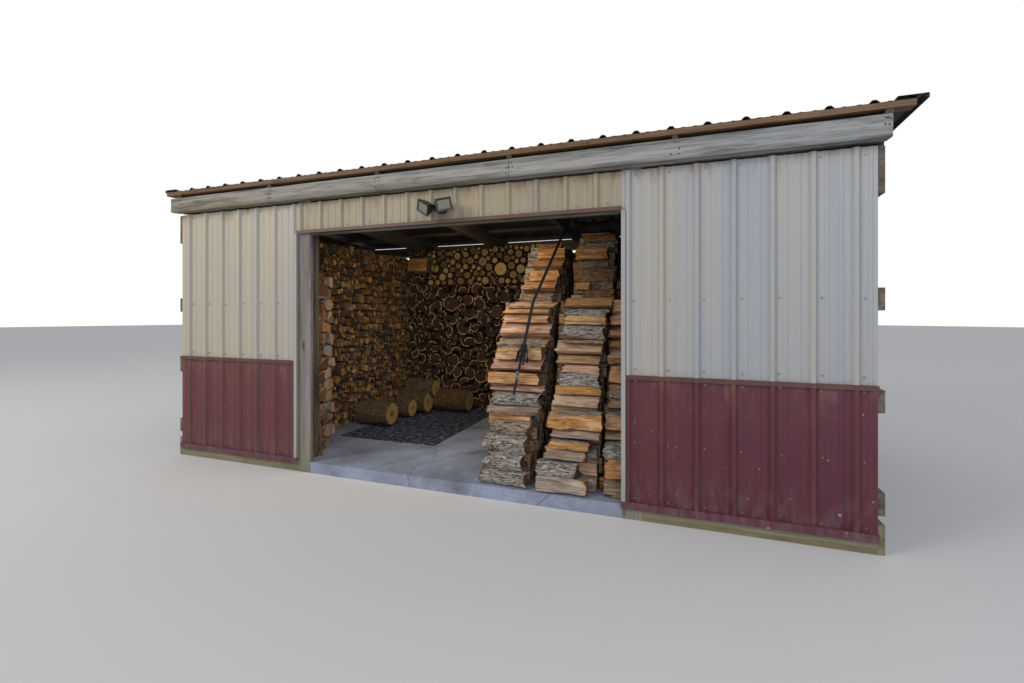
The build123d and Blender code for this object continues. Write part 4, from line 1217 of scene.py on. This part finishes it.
class STORE_OT_fastenings(bpy.types.Operator):
    """Drive the sheeting screws and the beam's nails"""

    bl_idname = "store.fastenings"
    bl_label = "Screws and nails"

    def execute(self, context):
        self.screws()
        self.nails()
        return {"FINISHED"}

    def screws(self):
        """Hexagon heads on washers, beside the ribs at each girt."""
        width = sizes().screw_head
        deselect()
        bpy.ops.mesh.primitive_cylinder_add(vertices=12, radius=width / 2, depth=0.002)
        washer = bpy.context.object
        bpy.ops.object.mode_set(mode="EDIT")
        select_faces(washer, lambda face: face.normal.z > 0.9)
        bpy.ops.mesh.inset(thickness=width * 0.18)
        bpy.ops.mesh.extrude_region_move(TRANSFORM_OT_translate={"value": (0, 0, 0.005)})
        bpy.ops.mesh.inset(thickness=width * 0.06)
        bpy.ops.object.mode_set(mode="OBJECT")
        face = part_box("siding_right")[1].y - 0.0035
        turn = Matrix.Rotation(math.radians(90), 4, "X")
        made = {"wainscot": [], "siding": []}
        for side, ends, first in (
            ("left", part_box("siding_left"), 0.119), ("right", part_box("siding_right"), 0.046),
        ):
            x = ends[0].x + first + 0.045
            while x < ends[1].x - 0.02:
                for z in (0.155, 0.56, 0.99):
                    made["wainscot"].append((x, z))
                for z in (1.075, 1.57, 2.46):
                    made["siding"].append((x, z))
                x += RIB_PITCH
        low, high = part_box("siding_over_door")
        x = low.x + 0.10
        while x < high.x:
            made["siding"].append((x, 2.46))
            made["siding"].append((x + 0.01, 2.275))
            x += RIB_PITCH
        rng = np.random.default_rng(4)
        for group, tint in (("wainscot", "#8A7A74"), ("siding", "#8E8B84")):
            copies = []
            for x, z in made[group]:
                drift = rng.uniform(-0.008, 0.008, 2)
                place = Matrix.Translation((x + drift[0], face, z + drift[1])) @ turn
                copies.append(copy_to(washer, place))
            steel = plated_steel(group + "_screw_steel", tint)
            finish_piece(join(copies), group + "_screws", [steel])
        bpy.data.objects.remove(washer)

    def nails(self):
        """Groups of nail heads in the beam's face below each rafter."""
        width = sizes().nail_head
        deselect()
        bpy.ops.mesh.primitive_cylinder_add(vertices=10, radius=width / 2, depth=0.003)
        head = bpy.context.object
        bpy.ops.object.mode_set(mode="EDIT")
        select_faces(head, lambda face: face.normal.z > 0.9)
        bpy.ops.mesh.inset(thickness=width * 0.15)
        bpy.ops.transform.translate(value=(0, 0, 0.0006))
        bpy.ops.object.mode_set(mode="OBJECT")
        low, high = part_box("front_beam")
        turn = Matrix.Rotation(math.radians(90), 4, "X")
        rng = np.random.default_rng(9)
        copies = []
        for index in range(6):
            centre = high.x - 0.019 - RAFTER_PITCH * index
            for side in (-0.022, 0.0, 0.024):
                for z in (low.z + 0.035, low.z + 0.075, low.z + 0.112):
                    if rng.uniform() < 0.75:
                        drift = rng.uniform(-0.006, 0.006, 2)
                        place = (min(centre + side + drift[0], high.x - 0.012), low.y - 0.0002, z + drift[1])
                        copies.append(copy_to(head, Matrix.Translation(place) @ turn))
        steel = plated_steel("rusted_nail_steel", "#3B2C24")
        finish_piece(join(copies), "beam_nails", [steel])
        bpy.data.objects.remove(head)


class STORE_OT_floor(bpy.types.Operator):
    """Finish the slab and lay the mat"""

    bl_idname = "store.floor"
    bl_label = "Floor"

    def execute(self, context):
        coat_node("floor_slab", trowelled_concrete("trowelled_concrete", colours().concrete))
        low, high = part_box("floor_mat")
        mat = box_from(low, high)
        bpy.ops.object.mode_set(mode="EDIT")
        select_faces(mat, lambda face: face.normal.z > 0.9)
        bpy.ops.mesh.inset(thickness=0.035)
        bpy.ops.transform.translate(value=(0, 0, -0.002))
        bpy.ops.mesh.inset(thickness=0.012)
        bpy.ops.mesh.subdivide(number_cuts=18)
        bpy.ops.transform.vertex_random(offset=0.0015, seed=3)
        bpy.ops.object.mode_set(mode="OBJECT")
        round_edges(mat, 0.003, 60)
        finish_piece(mat, "rubber_mat", [rubber_crumb("pressed_rubber_crumb")], ["floor_mat"])
        return {"FINISHED"}


class STORE_OT_floodlight(bpy.types.Operator):
    """Model the two floodlight housings and their lenses"""

    bl_idname = "store.floodlight"
    bl_label = "Floodlight"

    def execute(self, context):
        housing = powder_coat("bronze_powder_coat", colours().lamp)
        lens = fluted_lens("moulded_lens_glass")
        coat_node("floodlight_mount", housing)
        mount_low, mount_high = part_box("floodlight_mount")
        middle_x = (mount_low.x + mount_high.x) / 2
        heads = []
        for side, yaw, pitch, roll in ((-1, -24, 20, 24), (1, 10, 12, -5)):
            turn = Matrix.Rotation(math.radians(pitch), 4, "X") @ Matrix.Rotation(math.radians(yaw), 4, "Z")
            turn = turn @ Matrix.Rotation(math.radians(roll), 4, "Y")
            place = Matrix.Translation((middle_x + side * 0.073, -1.5868, 2.356)) @ turn
            head = self.head([housing, lens])
            head.data.transform(place)
            heads.append(head)
        finish_piece(join(heads), "floodlight_housings", [], ["floodlight_heads"])
        return {"FINISHED"}

    def head(self, materials):
        """One housing: tapered sides with cooling fins, a lip, and a lens set back behind it."""
        width, height, depth = 0.138, 0.108, 0.088
        head = box_from((-width / 4, -depth, -height / 4), (width / 4, 0, height / 4))
        bpy.ops.object.mode_set(mode="EDIT")
        select_faces(head, lambda face: face.normal.y < -0.9)
        bpy.ops.transform.resize(value=(2, 1, 2), center_override=(0, -depth, 0))
        cut_across([(0, -depth + 0.012, 0), (0, -depth * 0.35, 0)], (0, 1, 0))
        select_faces(head, lambda face: face.normal.y < -0.9)
        bpy.ops.mesh.inset(thickness=0.020)
        bpy.ops.transform.translate(value=(0, 0.006, 0))
        bpy.ops.mesh.inset(thickness=0.001)
        bpy.ops.object.mode_set(mode="OBJECT")
        for face in head.data.polygons:
            face.material_index = int(face.normal.y < -0.9 and face.center.y > -depth + 0.005)
        give_materials(head, materials)
        round_edges(head, 0.004, 50)
        fins = [head]
        for index in range(5):
            x = -0.024 + 0.012 * index
            fins.append(box_from((x - 0.001, -0.03, -0.03), (x + 0.001, 0.006, 0.03)))
        return join(fins)


def webbing_along(width, cuts, stops, twist):
    """A flat strip of webbing that follows a path of points and twists evenly."""
    strip = box_from((-width / 2, -WEBBING / 2, 0), (width / 2, WEBBING / 2, 1))
    bpy.ops.object.mode_set(mode="EDIT")
    cut_across([(0, 0, cut / cuts) for cut in range(1, cuts)], (0, 0, 1))
    bpy.ops.object.mode_set(mode="OBJECT")
    bend_along(strip, stops, twist)
    bpy.ops.object.shade_smooth_by_angle(angle=math.radians(40))
    return strip


def bend_along(piece, stops, twist=0.0):
    """Bend a piece that is drawn up Z, 1 long, so that it follows a path of points."""
    points = np.array(stops, float)
    run = np.concatenate([[0.0], np.cumsum(np.linalg.norm(np.diff(points, axis=0), axis=1))])
    run /= run[-1]

    def on_path(share):
        share = min(max(share, 0.0), 1.0)
        return Vector([np.interp(share, run, points[:, axis]) for axis in range(3)])

    for vert in piece.data.vertices:
        x, y, share = vert.co
        tangent = (on_path(share + 0.03) - on_path(share - 0.03)).normalized()
        side = Vector((1, 0, 0)) - tangent * tangent.x
        side.normalize()
        turn = Matrix.Rotation(twist * share, 3, tangent)
        vert.co = on_path(share) + turn @ (side * x + tangent.cross(side) * y)
    piece.data.update()


class STORE_OT_loose_things(bpy.types.Operator):
    """Hang the webbing strap with its chain, and lean the stick on the jamb"""

    bl_idname = "store.loose_things"
    bl_label = "Strap and stick"

    def execute(self, context):
        self.strap()
        self.stick()
        return {"FINISHED"}

    def strap(self):
        """The strap from a purlin down past the first row: knot, loose tails, slack loops and chain."""
        low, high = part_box("hanging_strap")
        foot = Vector((low.x + 0.013, low.y + 0.002, low.z))
        bend = Vector((0.661, -1.002, 1.58))
        top = Vector((high.x - 0.013, high.y - 0.002, high.z - 0.01))
        knot = foot.lerp(bend, 0.50)
        width = sizes().strap_width
        webbing = woven_webbing("woven_polyester_webbing")
        steel = plated_steel("zinc_plated_chain", "#8C8C8E")
        cloth = [
            webbing_along(width, 60, [knot, bend, top], 1.4),
            webbing_along(0.8 * width, 30, [foot, foot.lerp(knot, 0.5), knot], 0.9),
        ]
        for across, drop, twist in (
            (-0.048, -0.130, -1.7), (0.020, -0.150, 0.6), (0.052, -0.130, 2.4), (-0.020, -0.100, 2.0),
        ):
            out = knot + Vector((across * 0.8, -0.022, drop * 0.35))
            end = knot + Vector((across, -0.020 + 0.38 * drop, drop))
            cloth.append(webbing_along(width, 20, [knot, out, end], twist))
        for index, (across, drop) in enumerate(((-0.05, 0.20), (-0.10, 0.30), (0.03, 0.24))):
            hang = top + Vector((across / 2, -0.02 * index, -drop))
            stops = [
                top, top + Vector((-0.02, -0.01, -0.08)), hang,
                top + Vector((across, -0.01, -0.10)), top + Vector((across, 0, -0.005)),
            ]
            cloth.append(webbing_along(width, 40, stops, 1.2 - index))
        for index, turn in enumerate((0.3, 1.2, -0.5)):
            deselect()
            bpy.ops.mesh.primitive_torus_add(
                major_segments=20, minor_segments=8, major_radius=0.019, minor_radius=0.009,
                location=knot + Vector((0.003, -0.006, 0.014 * (1 - index))), rotation=(turn, 0.4 * index, 0),
            )
            loop = bpy.context.object
            loop.scale = (1, 1, 1.5)
            apply_place(loop)
            bpy.ops.object.shade_smooth()
            cloth.append(loop)
        for piece in cloth:
            give_materials(piece, [webbing, steel])
        metal = []
        start = foot.lerp(knot, 0.42) + Vector((0.0, -0.012, 0))
        for index in range(4):
            deselect()
            bpy.ops.mesh.primitive_torus_add(
                major_segments=16, minor_segments=6, major_radius=0.011, minor_radius=0.0038,
                location=start + Vector((0.002 * index, 0, -0.024 * index)),
                rotation=(math.pi / 2, 0, math.pi / 2 * (index % 2) + 0.3),
            )
            link = bpy.context.object
            link.scale = (1, 1.7, 1)
            apply_place(link)
            metal.append(link)
        for piece in metal:
            for face in piece.data.polygons:
                face.material_index = 1
                face.use_smooth = True
            give_materials(piece, [webbing, steel])
        finish_piece(join(cloth + metal), "webbing_strap", [], ["hanging_strap"])

    def stick(self):
        """A peeled stick, a little crooked."""
        low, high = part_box("leaning_stick")
        foot = Vector((high.x - 0.010, low.y + 0.010, low.z))
        top = Vector((low.x + 0.010, low.y + 0.010, high.z))
        deselect()
        bpy.ops.mesh.primitive_cylinder_add(vertices=12, radius=0.0098, depth=1, location=(0, 0, 0.5))
        stick = bpy.context.object
        apply_place(stick)
        bpy.ops.object.mode_set(mode="EDIT")
        cut_across([(0, 0, cut / 24) for cut in range(1, 24)], (0, 0, 1))
        bpy.ops.mesh.select_all(action="SELECT")
        bpy.ops.transform.vertex_random(offset=0.001, seed=12)
        bpy.ops.object.mode_set(mode="OBJECT")
        middle = foot.lerp(top, 0.5) + Vector((0.006, 0.0, 0))
        bend_along(stick, [foot, middle, top])
        bpy.ops.object.shade_smooth_by_angle(angle=math.radians(40))
        wood = sawn_timber("peeled_stick_wood", linear("#7A4F30"), "#3E2717", "z", grey=0.2)
        finish_piece(stick, "peeled_stick", [wood], ["leaning_stick"])


class STORE_OT_firewood(bpy.types.Operator):
    """Stack the firewood"""

    bl_idname = "store.firewood"
    bl_label = "Firewood"

    def execute(self, context):
        for kind in SPLITS:
            for index in range(len(PATTERN_ENDS)):
                split_log(kind, index)
        size = sizes()
        for index, letter in enumerate("abcde"):
            self.row("firewood_row_" + letter, index)
        low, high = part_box("left_firewood")
        length = size.log_length
        rows = []
        for index, x in enumerate((high.x - length - 0.012, low.x + 0.012)):
            rows.append(
                stack_along_x(
                    Vector((x, low.y, low.z)), Vector((x, high.y, high.z - 0.02)),
                    size.small_split, size.small_split * (1 + 0.12 * index), 40 + index, "left",
                    bark_share=0.25, uneven=0.48, wedges=0.75,
                )
            )
        finish_piece(join(rows), "left_firewood_logs", [], ["left_firewood"])
        self.pillar()
        self.back_stack()
        self.loose_rounds()
        for kind in SPLITS:
            for extra in PATTERN_ENDS:
                bpy.data.objects.remove(bpy.data.objects[kind + "_pattern" + extra])
        return {"FINISHED"}

    def row(self, node_name, index):
        """One row beside the aisle: its front logs, and behind them the logs that they hold."""
        size = sizes()
        low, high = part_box(node_name)
        left, front = low.x + 0.012, low.y + 0.004
        height = high.z - low.z
        table = {0: ROW_A_FRONT, 1: ROW_B_FRONT}.get(index)
        if not table:
            table = chance_front(1000 * height - 25, 1000 * size.log_length, 60 + index)
        logs = front_logs(table, left, front, low.z, row_set_back, 30 + index)

        def behind_front(y):
            return row_set_back(y) + 0.11

        left += 0.055 if index == 1 else 0.0
        rest = stack_along_x(
            Vector((left, front, low.z)), Vector((left, high.y, high.z - 0.03)),
            size.log_width, size.course_height, 20 + index, "row", behind_front,
        )
        finish_piece(join([rest, logs]), node_name + "_logs", [], [node_name])

    def pillar(self):
        """The short stack beside the left jamb."""
        size = sizes()
        low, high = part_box("left_firewood_pillar")
        left, front = low.x + 0.012, low.y + 0.004
        table = chance_front(1000 * (high.z - low.z) - 10, 1000 * size.log_length, 95, (0.15, 0.8))
        logs = front_logs(table, left, front, low.z, lambda height: 0.02 * height, 36)
        rest = stack_along_x(
            Vector((left, front, low.z)), Vector((left, high.y, high.z - 0.04)),
            size.log_width * 1.1, size.course_height * 1.1, 50, "pillar", lambda y: 0.12, 0.5, 0.42, 0.2,
        )
        finish_piece(join([rest, logs]), "left_pillar_logs", [], ["left_firewood_pillar"])

    def back_stack(self):
        """Halved logs below, small rounds above them, and one torn log at the upper left."""
        low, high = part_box("back_firewood")
        length, height = high.x - low.x, high.z - low.z - 0.02
        rounds_above = 0.77 * height
        start = 0.15 * length
        rng = np.random.default_rng(60)
        beside = heap_of_rounds(start, height, rng.uniform(0.045, 0.085, 160), 61)
        below = heap_of_rounds(length - start, rounds_above, rng.uniform(0.050, 0.112, 520), 62)
        below = beside + [(x + start, y, radius) for x, y, radius in below]
        lower = flat_round_ends(below, 63, 0.88)
        logs_from_ends(lower, sizes().log_length, 63)
        mark_logs(lower, 63, 0.85, firewood_materials("back"), 0.013, below)
        small = rng.choice((0.028, 0.038, 0.048, 0.060, 0.072), 500, p=(0.12, 0.23, 0.3, 0.22, 0.13))
        placed = [(1.065, 0.045, 0.045), (1.16, 0.055, 0.055), (1.255, 0.045, 0.045), (1.15, 0.215, 0.105)]
        heap = heap_of_rounds(length - start, height - rounds_above, small, 64, placed)
        upper = flat_round_ends(heap, 65, 0.08)
        logs_from_ends(upper, sizes().log_length, 65)
        mark_logs(upper, 65, 0.4, firewood_materials("pale"), 0.016, heap)
        lower.data.transform(along_y(low.x, high.y, low.z))
        upper.data.transform(along_y(low.x + start, high.y, low.z + rounds_above))
        table = [(0, 370, 0, 190, "split", 0.25)]
        torn = front_logs(table, low.x + 0.03, low.y - 0.11, 2.07, lambda height: 0, 66)
        finish_piece(lower, "back_split_logs", [], ["back_firewood"])
        finish_piece(join([upper, torn]), "back_round_logs", [], ["back_firewood"])

    def loose_rounds(self):
        """Whole rounds with sawn ends, on the mat and on one another."""
        mat_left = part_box("floor_mat")[0].x
        mat_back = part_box("floor_mat")[1].y
        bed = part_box("floor_mat")[1].z
        rounds = [
            (0.296, 1.160, 0.150, 0.430), (0.275, 0.662, 0.120, 0.430), (0.351, 0.379, 0.154, 0.430),
            (0.862, 0.152, 0.160, 0.480), (0.330, 0.119, 0.104, 0.400),
        ]
        logs = []
        for index, (reach, back, radius, length) in enumerate(rounds):
            place = (mat_left + reach, mat_back - back, bed + radius)
            logs.append(self.round_log(place, radius, length, 70 + index))
        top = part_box("loose_logs")[1].z - 0.125
        logs.append(self.round_log((mat_left + 0.400, mat_back - 0.262, top), 0.125, 0.410, 79))
        finish_piece(join(logs), "loose_round_logs", [], ["loose_logs"])

    def round_log(self, place, radius, length, seed):
        """A round drawn flat, then laid down along X with its right end at a place."""
        deselect()
        bpy.ops.mesh.primitive_circle_add(vertices=32, radius=radius * 0.985, fill_type="NGON")
        ends = bpy.context.object
        bpy.ops.object.mode_set(mode="EDIT")
        bpy.ops.mesh.select_all(action="SELECT")
        bpy.ops.transform.vertex_random(offset=0.004, seed=seed)
        bpy.ops.transform.resize(value=(1, 1, 0))
        bpy.ops.object.mode_set(mode="OBJECT")
        logs_from_ends(ends, length, seed, bends=9)
        mark_logs(ends, seed, 1.0, firewood_materials("loose"), 0.0, [(0.0, 0.0, radius)], on_floor=False)
        ends.data.transform(along_x(place[0] - length, place[1], place[2]))
        return ends


class STORE_PT_panel(bpy.types.Panel):
    """Lists the log store's sizes, colours and pieces"""

    bl_idname = "STORE_PT_panel"
    bl_label = "Log store"
    bl_space_type = "VIEW_3D"
    bl_region_type = "UI"
    bl_category = "Log store"

    def draw(self, context):
        for group in (context.scene.store_sizes, context.scene.store_colours):
            box = self.layout.box()
            for name in group.__annotations__:
                box.prop(group, name)
        for step in STEPS:
            self.layout.operator(step.bl_idname)


STEPS = (
    STORE_OT_stage, STORE_OT_metal, STORE_OT_timber, STORE_OT_fastenings, STORE_OT_floor,
    STORE_OT_floodlight, STORE_OT_loose_things, STORE_OT_firewood,
)
CLASSES = (StoreSizes, StoreColours, *STEPS, STORE_PT_panel)


def register():
    for each in CLASSES:
        bpy.utils.register_class(each)
    bpy.types.Scene.store_sizes = bpy.props.PointerProperty(type=StoreSizes)
    bpy.types.Scene.store_colours = bpy.props.PointerProperty(type=StoreColours)


def unregister():
    del bpy.types.Scene.store_colours
    del bpy.types.Scene.store_sizes
    for each in reversed(CLASSES):
        bpy.utils.unregister_class(each)


def main():
    register()
    bpy.ops.store.stage()
    bpy.ops.store.metal()
    bpy.ops.store.timber()
    bpy.ops.store.fastenings()
    bpy.ops.store.floor()
    bpy.ops.store.floodlight()
    bpy.ops.store.loose_things()
    bpy.ops.store.firewood()


if __name__ == "__main__":
    main()
